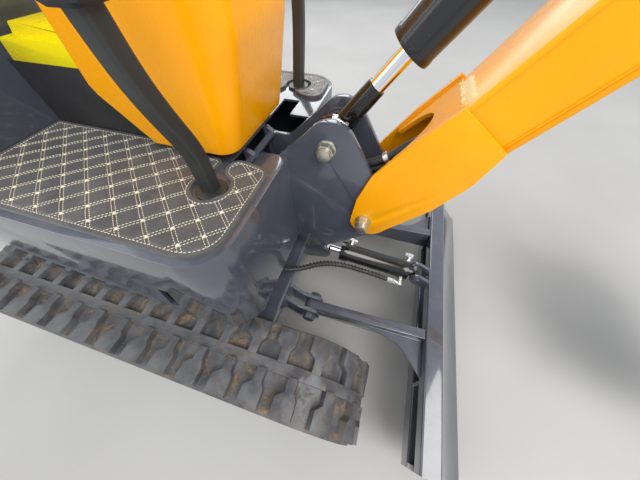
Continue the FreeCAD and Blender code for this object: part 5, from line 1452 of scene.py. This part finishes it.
@dataclass
class BoomCylinderTrim:
    """The boom cylinder's black stem cover, its grease nipple with its elbow and lock wire, and the bosses of its upper
    pin.
    """

    finishes: Finishes
    eye: Point = (417.0, 0.0, 662.0)
    lean: float = 53.5
    cover: tuple[tuple[float, float], ...] = ((18.0, 19.0), (22.0, 19.8), (107.0, 16.4), (110.5, 16.0), (111.5, 14.6))
    nipple: tuple[tuple[float, float], ...] = (
        (0.0, 6.5), (9.0, 6.5), (9.6, 4.4), (13.0, 4.4), (14.0, 3.0), (17.0, 3.6), (19.0, 2.6),
    )

    def build(self) -> None:
        """Make the pieces."""
        way = (math.cos(math.radians(self.lean)), 0.0, math.sin(math.radians(self.lean)))
        show("stem_cover", turned(self.cover, self.eye, way, 40), "boom_rod", self.finishes["black_gloss"])
        ends = [
            turned(self.nipple, (416.0, -22.0, 686.0), (0.3, -0.25, 1.0), 12),
            turned([(0.0, 7.5), (9.0, 7.5), (10.0, 6.5)], (418.0, -26.0, 703.0), (1.0, 0.1, -0.1), 6),
            turned([(0.0, 4.0), (15.0, 4.0), (16.0, 3.0)], (427.0, -26.0, 702.0), (1.0, -0.1, -0.45), 12),
            turned([(0.0, 5.5), (5.0, 5.5), (6.0, 4.5)], (441.0, -28.0, 697.0), (1.0, -0.2, -0.3), 6),
        ]
        show("stem_nipple", merged(ends), "boom_rod", self.finishes["white_zinc"])
        wire = spline([(421.0, -27.0, 708.0), (413.0, -28.0, 710.0), (407.0, -29.0, 704.0), (402.0, -29.0, 705.0),
                       (398.0, -28.0, 702.0)], 1.9)
        show("stem_lock_wire", wire, "boom_rod", self.finishes["rusted_wire"])
        bosses = [turned([(0.0, 30.0), (3.0, 30.0), (4.0, 28.5)], (self.eye[0], side.value * 43.0, self.eye[2]),
                         (0.0, -side.value, 0.0), 48) for side in Side]
        show("upper_pin_bosses", merged(bosses), "house", self.finishes["dark_paint"])


@dataclass
class Welds:
    """Weld beads in the inner corners where plates and tubes meet."""

    frame: dict
    bead: Bead
    finishes: Finishes
    radius: float = 2.7 * MM
    ripple: float = 4.6 * MM
    shortest: float = 26.0 * MM
    finish_of: tuple[tuple[str, str], ...] = (
        ("boom", "orange"), ("arm", "orange"), ("boom_support", "dark_paint"), ("push_arm_right", "dark_paint"),
        ("push_arm_left", "dark_paint"), ("blade_board", "dark_paint"), ("front_cross_tube", "dark_paint"),
        ("rear_cross_tube", "dark_paint"), ("bucket", "dark_paint"), ("centre_frame", "dark_paint"),
    )

    def corners(self, node: str) -> list[list[Point]]:
        """Find the straight inner corners of a node's solids.

        Args:
            node: The node's name.

        Returns:
            One line of two points for each corner.
        """
        work = bmesh.new()
        work.from_mesh(self.frame["nodes"][node].data)
        bmesh.ops.remove_doubles(work, verts=work.verts, dist=0.02 * MM)
        bmesh.ops.dissolve_limit(work, angle_limit=math.radians(0.6), verts=work.verts, edges=work.edges)
        lines = []
        for edge in work.edges:
            if not edge.is_manifold or edge.is_convex or edge.calc_length() < self.shortest:
                continue
            if math.radians(50.0) < edge.calc_face_angle() < math.radians(130.0):
                low, high = (vertex.co for vertex in edge.verts)
                inset = (high - low).normalized() * MM
                lines.append([tuple(low + inset), tuple(high - inset)])
        work.free()
        return lines

    def band(self) -> bpy.types.Mesh:
        """Drape the broad repair bead across the top of the boom's root, in a pale cream that is partly the bead's own
        colour and partly a painted highlight.
        """
        mesh = self.frame["nodes"]["boom"].data
        tree = BVHTree.FromPolygons([v.co for v in mesh.vertices], [p.vertices for p in mesh.polygons])
        slope = math.radians(57.5)
        along = Vector((math.cos(slope), 0.0, math.sin(slope)))
        inward = Vector((math.sin(slope), 0.0, -math.cos(slope)))
        foot = Vector(millimetres(506.0, 0.0, 503.0))
        columns = []
        for y in np.linspace(-43.0, 37.0, 33):
            column = []
            for k, s in enumerate(np.linspace(264.0, 285.0, 9)):
                wander = 1.4 * math.sin(0.31 * y) + 0.7 * math.sin(0.83 * y + 1.0)
                start = foot + along * (s + wander) * MM - inward * 0.15 + Vector((0.0, y * MM, 0.0))
                spot = tree.ray_cast(start, inward)[0]
                lift = 2.1 * math.sin(math.pi * k / 8.0) ** 0.5 - 0.3 if abs(y + 3.0) < 39.0 else -0.6
                column.append(spot - inward * lift * MM)
            columns.append(column)
        work = bmesh.new()
        top = [[work.verts.new(spot) for spot in column] for column in columns]
        low = [[work.verts.new(spot + inward * 1.5 * MM) for spot in column] for column in columns]
        for sheet, turn in ((top, False), (low, True)):
            for left, right in zip(sheet, sheet[1:]):
                for k in range(8):
                    face = (left[k], left[k + 1], right[k + 1], right[k])
                    work.faces.new(tuple(reversed(face)) if turn else face)
        rim_top = top[0] + [column[-1] for column in top[1:]] + top[-1][-2::-1] + [c[0] for c in top[-2:0:-1]]
        rim_low = low[0] + [column[-1] for column in low[1:]] + low[-1][-2::-1] + [c[0] for c in low[-2:0:-1]]
        for k in range(len(rim_top)):
            after = (k + 1) % len(rim_top)
            work.faces.new((rim_top[k], rim_top[after], rim_low[after], rim_low[k]))
        bmesh.ops.recalc_face_normals(work, faces=work.faces)
        made = bpy.data.meshes.new("band")
        work.to_mesh(made)
        work.free()
        smooth_by_angle(made, 50.0)
        return made

    def build(self) -> None:
        """Lay the beads of every node."""
        # The band's pale cream is partly its own colour and partly a painted highlight.
        show("boom_root_band", self.band(), "boom", self.finishes["primer"])
        blob = turned([(0.0, 3.0), (0.8, 6.0), (3.0, 7.6), (6.0, 7.2), (8.5, 5.0), (9.6, 2.0)],
                      (613.0, -40.0, 750.5), (0.1, -1.0, 0.1), 20)
        show("boom_root_blob", blob, "boom", self.finishes["orange"])
        for node, finish in self.finish_of:
            lines = self.corners(node)
            if not lines:
                continue
            mesh = self.bead.apply(lines_mesh(lines), Radius=self.radius, Ripple=self.ripple, Wave=0.14,
                                   Finish=self.finishes[finish])
            show("weld_" + node, mesh, self.frame["nodes"][node]["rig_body"], self.finishes[finish])


@dataclass(frozen=True)
class Screws:
    """A set of equal screws, each put where a ray meets a node."""

    node: str
    rays: tuple[tuple[Point, Point], ...]
    size: float = 1.0
    finish: str = "zinc"


@dataclass
class Fasteners:
    """The small hexagon screws of the machine, each seated on the surface that it holds."""

    frame: dict
    finishes: Finishes
    scatter: Scatter
    across: float = 13.0
    head: float = 5.5
    washer: float = 10.5

    def shape(self) -> bpy.types.Mesh:
        """Make one screw head on its washer, standing on Z."""
        corner = self.across / math.sqrt(3.0)
        washer = turned([(0, self.washer), (1.3, self.washer), (1.7, self.washer - 0.5)], (0, 0, 0), (0, 0, 1), 20)
        hexagon = turned([(1.5, corner), (self.head + 0.6, corner), (self.head + 1.5, corner - 1.1)],
                         (0, 0, 0), (0, 0, 1), 6)
        return merged([washer, hexagon])

    def sets(self) -> list[Screws]:
        """List the sets of screws."""
        every = []
        for side in Side:
            word, sign = side.name.lower(), side.value
            low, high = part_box("sprocket_" + word)
            x, z = (low.x + high.x) / 2.0 / MM, (low.z + high.z) / 2.0 / MM
            ring = []
            for k in range(6):
                angle = math.tau * (k + 0.5) / 6.0
                ring.append(((x + 34.0 * math.cos(angle), sign * 900.0, z + 34.0 * math.sin(angle)),
                             (0.0, -sign, 0.0)))
            every.append(Screws("sprocket_" + word, tuple(ring)))
            seat = tuple(((x, sign * 600.0, z), (0.0, -sign, 0.0)) for x in (-520.0, -250.0) for z in (700.0, 840.0))
            every.append(Screws("seat_base", seat, 0.8, "black_satin"))
        roof = tuple(((x + d, y, 2400.0), (0.0, 0.0, -1.0)) for x in (222.0, -430.0) for y in (-262.0, 262.0)
                     for d in (-24.0, 24.0))
        every.append(Screws("canopy_roof", roof, 1.1))
        every.append(Screws("counterweight", tuple(
            ((-1100.0, y, z), (1.0, 0.0, 0.0)) for y in (-170.0, 170.0) for z in (470.0, 560.0)), 1.5))
        every.append(Screws("console", tuple(
            ((-150.0, y, z), (1.0, 0.0, 0.0)) for y in (-96.0, 96.0) for z in (890.0, 1120.0)), 0.7, "black_satin"))
        every.append(Screws("plinth_lid", tuple(((-160.0, y, 1000.0), (0.0, 0.0, -1.0)) for y in (-58.0, 58.0)),
                            0.7, "black_satin"))
        return every

    def build(self) -> None:
        """Seat every set."""
        shape = self.shape()
        for number, group in enumerate(self.sets()):
            mesh = self.frame["nodes"][group.node].data
            tree = BVHTree.FromPolygons([v.co for v in mesh.vertices], [p.vertices for p in mesh.polygons])
            spots = []
            for start, way in group.rays:
                spot, normal, _, _ = tree.ray_cast(Vector(millimetres(*start)), Vector(way))
                if spot is not None and abs(normal.dot(Vector(way))) > 0.8:
                    spots.append(Spot(at=tuple(spot), axis=tuple(-Vector(way)), spin=0.4 * len(spots),
                                      size=(group.size,) * 3))
            log.info("screws on %s: %d of %d", group.node, len(spots), len(group.rays))
            if spots:
                heads = self.scatter.place(shape, spots, self.finishes[group.finish])
                show(f"screws_{group.node}_{number}", heads, self.frame["nodes"][group.node]["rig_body"],
                     self.finishes[group.finish])


@dataclass
class Tracks:
    """The rubber tracks, with dried soil packed between their lugs."""

    frame: dict
    finishes: Finishes
    lug: float = 13.0 * MM
    bins: int = 150

    def mark(self, mesh: bpy.types.Mesh) -> None:
        """Note how far each point lies under the lugs' tops.

        Args:
            mesh: The track's mesh.
        """
        spots = np.array([tuple(vertex.co) for vertex in mesh.vertices])
        low, high = spots.min(axis=0), spots.max(axis=0)
        half = (high[2] - low[2]) / 2.0
        middle = (low + high) / 2.0
        along = spots[:, 0] - np.clip(spots[:, 0], low[0] + half, high[0] - half)
        reach = np.hypot(along, spots[:, 2] - middle[2])
        angle = np.arctan2(spots[:, 2] - middle[2], (spots[:, 0] - middle[0]) * half / (high[0] - middle[0]))
        places = ((angle / math.tau + 0.5) * self.bins).astype(int) % self.bins
        top = np.zeros(self.bins)
        np.maximum.at(top, places, reach)
        around = np.max([np.roll(top, shift) for shift in (-2, -1, 0, 1, 2)], axis=0)
        share = np.clip((around[places] - reach - 4.0 * MM) / self.lug, 0.0, 1.0)
        share[np.minimum(spots[:, 1] - low[1], high[1] - spots[:, 1]) < 2.0 * MM] = 0.0
        mesh.attributes.new("low", "FLOAT", "POINT").data.foreach_set("value", share.astype(np.float32))

    def build(self, pieces: dict[str, bpy.types.Object]) -> None:
        """Mark both tracks.

        Args:
            pieces: The dressed pieces by node.
        """
        for side in Side:
            self.mark(pieces["track_" + side.name.lower()].data)


def clipped(shape: Sequence[Vector], normal: Vector, limit: float) -> list[Vector]:
    """Keep the part of a flat shape on the inner side of a line.

    Args:
        shape: The corners of a convex shape, in order.
        normal: The line's outward direction.
        limit: The line's distance from the origin.

    Returns:
        The corners that are left.
    """
    kept = []
    for before, here in zip(shape[-1:] + shape[:-1], shape):
        a, b = before.dot(normal) - limit, here.dot(normal) - limit
        if (a <= 0.0) != (b <= 0.0):
            kept.append(before.lerp(here, a / (a - b)))
        if b <= 0.0:
            kept.append(here)
    return kept


@dataclass
class Console:
    """The console's cover of bent sheet: its front folds have a wide radius, its back folds a small one."""

    frame: dict
    finishes: Finishes
    front_radius: float = 33.0 * MM
    back_radius: float = 7.0 * MM
    rim: float = 4.0 * MM
    step: float = 15.0 * MM

    def section(self, work: bmesh.types.BMesh, level: float) -> list[Vector]:
        """Cut the cover at a height.

        Args:
            work: The cover's solid.
            level: The height.

        Returns:
            The corners of the cut's outline, counter-clockwise.
        """
        cuts = []
        for edge in work.edges:
            low, high = (vertex.co for vertex in edge.verts)
            if (low.z - level) * (high.z - level) < 0.0:
                cuts.append(low.lerp(high, (level - low.z) / (high.z - low.z)).to_2d())
        corners = [cuts[k] for k in convex_hull_2d(cuts)]
        area = sum(a.x * b.y - b.x * a.y for a, b in zip(corners, corners[1:] + corners[:1]))
        return corners if area > 0.0 else corners[::-1]

    def rounded(self, corners: list[Vector], radius: float, angles: Iterable[float], inset: float) -> list[Vector]:
        """Round the corners of an outline.

        Args:
            corners: The outline, counter-clockwise.
            radius: The radius of its folds.
            angles: The directions that its points look at, in degrees.
            inset: How far the whole outline is drawn in.

        Returns:
            One point for each direction.
        """
        core = list(corners)
        for before, after in zip(corners, corners[1:] + corners[:1]):
            way = (after - before).normalized()
            normal = Vector((way.y, -way.x))
            core = clipped(core, normal, before.dot(normal) - radius)
        points = []
        for angle in angles:
            look = Vector((math.cos(math.radians(angle)), math.sin(math.radians(angle))))
            points.append(max(core, key=look.dot) + look * (radius - inset))
        return points

    def build(self) -> None:
        """Make the cover."""
        work = bmesh.new()
        work.from_mesh(self.frame["nodes"]["console"].data)
        bmesh.ops.remove_doubles(work, verts=work.verts, dist=0.02 * MM)
        low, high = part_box("console")
        front, back = np.linspace(-89.9, 89.9, 61), np.linspace(90.1, 269.9, 25)
        between = np.linspace(low.z + self.rim, high.z - self.rim, int((high.z - low.z) / self.step))
        levels = [(low.z + self.rim * rise, self.rim * (1.0 - math.sqrt(1.0 - (1.0 - rise) ** 2)))
                  for rise in (0.0, 0.08, 0.3, 0.6)]
        levels += [(z, 0.0) for z in between]
        levels += [(high.z - self.rim * rise, self.rim * (1.0 - math.sqrt(1.0 - (1.0 - rise) ** 2)))
                   for rise in (0.6, 0.3, 0.08, 0.0)]
        rings = []
        for z, inset in levels:
            corners = self.section(work, min(max(z, low.z + 0.05 * MM), high.z - 0.05 * MM))
            ring = self.rounded(corners, self.front_radius, front, inset)
            ring += self.rounded(corners, self.back_radius, back, inset)
            rings.append([Vector((x, y, z)) for x, y in ring])
        work.free()
        piece = show("console_cover", lofted(rings), "house", self.finishes["orange"])
        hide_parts("console")


@dataclass
class Dresser:
    """Gives the solid pieces rounded edges and smooth shading, with every face where it was."""

    frame: dict
    finishes: Finishes
    bevel: float = 1.2 * MM

    def dress(self, node: str, finish: str, width: float | None = None) -> bpy.types.Object:
        """Replace one CAD node by a copy with softened edges.

        Args:
            node: The node's name.
            finish: The finish's name.
            width: The width of the softened edges, or none for the usual one.

        Returns:
            The new piece.
        """
        source = self.frame["nodes"][node]
        mesh = source.data.copy()
        work = bmesh.new()
        work.from_mesh(mesh)
        bmesh.ops.remove_doubles(work, verts=work.verts, dist=0.02 * MM)
        bmesh.ops.dissolve_limit(work, angle_limit=math.radians(0.6), verts=work.verts, edges=work.edges)
        work.to_mesh(mesh)
        work.free()
        piece = spare(mesh)
        size = self.bevel if width is None else width
        if size > 0.0:
            bevel = piece.modifiers.new("edges", "BEVEL")
            bevel.width = size
            bevel.segments = 2
            bevel.limit_method = "ANGLE"
            bevel.angle_limit = math.radians(35.0)
            bevel.use_clamp_overlap = True
            bevel.harden_normals = False
        result = evaluated(piece)
        bpy.data.objects.remove(piece)
        smooth_by_angle(result, 30.0)
        made = show("skin_" + node, result, source["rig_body"], self.finishes[finish])
        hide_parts(node)
        return made

    def slot_of(self, node: str) -> str:
        """Give the record's material slot of a node."""
        for row in self.frame["record"]["subparts"]:
            if row["node"] == node:
                return row["material_slot"]
        return ""

    def dress_all(self, skip: Iterable[str], widths: dict[str, float]) -> dict[str, bpy.types.Object]:
        """Dress every node that no finer piece stands for.

        Args:
            skip: Nodes that another class makes.
            widths: Edge widths of the nodes that differ from the usual one.

        Returns:
            The new pieces by node.
        """
        pieces = {}
        for node in sorted(self.frame["nodes"]):
            if node not in set(skip):
                # The canopy roof takes the finish with the painted pale underside, which stands for sky light.
                finish = "roof_orange" if node == "canopy_roof" else self.slot_of(node)
                pieces[node] = self.dress(node, finish, widths.get(node))
        return pieces


@dataclass
class Studio:
    """The floor, the lights and the camera."""

    eye: Point = (0.521, -0.428, 0.916)
    forward: Point = (-0.1801, 0.5610, -0.8080)
    right: Point = (0.9563, 0.2922, -0.0103)
    focal_share: float = 240.9 / 640.0
    floor_size: float = 14.0

    def camera(self) -> None:
        """Place the camera where the photograph was taken from."""
        ahead = Vector(self.forward).normalized()
        across = Vector(self.right)
        across = (across - ahead * across.dot(ahead)).normalized()
        above = across.cross(ahead)
        data = bpy.data.cameras.new("camera")
        data.sensor_width = 36.0
        data.lens = 36.0 * self.focal_share
        data.clip_start = 0.01
        camera = bpy.data.objects.new("camera", data)
        turn = Matrix((across, above, -ahead)).transposed().to_4x4()
        camera.matrix_world = Matrix.Translation(self.eye) @ turn
        bpy.context.scene.collection.objects.link(camera)
        bpy.context.scene.camera = camera

    def lamp(self, name: str, spot: Point, target: Point, size: float, power: float, colour: Colour) -> None:
        """Add one soft area light.

        Args:
            name: The light's name.
            spot: Where it hangs.
            target: What it points at.
            size: The side of its square.
            power: Its power in watts.
            colour: Its colour.
        """
        data = bpy.data.lights.new(name, "AREA")
        data.energy = power
        data.size = size
        data.color = colour
        light = bpy.data.objects.new(name, data)
        light.location = spot
        light.rotation_euler = (Vector(target) - Vector(spot)).to_track_quat("-Z", "Y").to_euler()
        bpy.context.scene.collection.objects.link(light)

    def lights(self) -> None:
        """Light the studio: a large key from the front right, a fill, a back light and a pale world."""
        self.lamp("key", (2.8, -2.2, 4.6), (0.4, 0.0, 0.4), 3.4, 260.0, (1.0, 0.98, 0.95))
        self.lamp("fill", (-3.2, -2.0, 2.8), (0.0, 0.0, 0.6), 3.5, 60.0, (0.94, 0.97, 1.0))
        self.lamp("back", (-1.0, 3.8, 3.6), (0.3, 0.0, 0.7), 3.0, 110.0, (0.97, 0.98, 1.0))
        world = bpy.data.worlds.new("studio")
        world.use_nodes = True
        world.node_tree.nodes["Background"].inputs["Color"].default_value = (0.92, 0.95, 1.0, 1.0)
        world.node_tree.nodes["Background"].inputs["Strength"].default_value = 0.8
        bpy.context.scene.world = world
        bpy.context.scene.view_settings.view_transform = "Standard"
        bpy.context.scene.view_settings.look = "None"

    def floor(self) -> None:
        """Lay a plain pale floor."""
        mesh = bpy.data.meshes.new("floor")
        half = self.floor_size / 2.0
        corners = [(-half, -half, 0.0), (half, -half, 0.0), (half, half, 0.0), (-half, half, 0.0)]
        mesh.from_pydata(corners, [], [(0, 1, 2, 3)])
        paint = Paint("floor")
        tone = paint.mix(paint.ramp(paint.noise(1.2, 3.0), 0.3, 0.7), (0.40, 0.395, 0.38), (0.45, 0.445, 0.43))
        paint.set(Base_Color=tone, Roughness=0.85)
        mesh.materials.append(paint.material)
        piece = bpy.data.objects.new("floor", mesh)
        bpy.context.scene.collection.objects.link(piece)

    def build(self) -> None:
        """Make the floor, the lights and the camera."""
        self.floor()
        self.lights()
        self.camera()


def main() -> None:
    """Build every piece of the looks around the frame."""
    logging.basicConfig(level=logging.INFO, format="%(name)s %(message)s")
    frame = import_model()
    finishes = Finishes()
    Studio().build()
    stitches, scatter = Stitches(), Scatter()
    mats = QuiltedMat(frame, finishes, stitches, scatter)
    mats.build("floor_mat_right", Side.RIGHT)
    mats.build("floor_mat_left", Side.LEFT)
    Hoses(finishes, SpiralGuard()).build()
    PaddedSeat(frame, finishes, stitches).build()
    Controls(finishes).build()
    Posts(finishes).build()
    Console(frame, finishes).build()
    BoomCylinderTrim(finishes).build()
    Welds(frame, Bead(), finishes).build()
    Fasteners(frame, finishes, scatter).build()
    made = {"floor_mat_right", "floor_mat_left", "seat_cushion", "seat_back", "levers", "front_post_right",
            "front_post_left", "post_collars", "console"}
    pieces = Dresser(frame, finishes).dress_all(skip=made, widths={"plinth_lid": 5.0 * MM, "seat_base": 3.0 * MM})
    Tracks(frame, finishes).build(pieces)


if __name__ == "__main__":
    main()
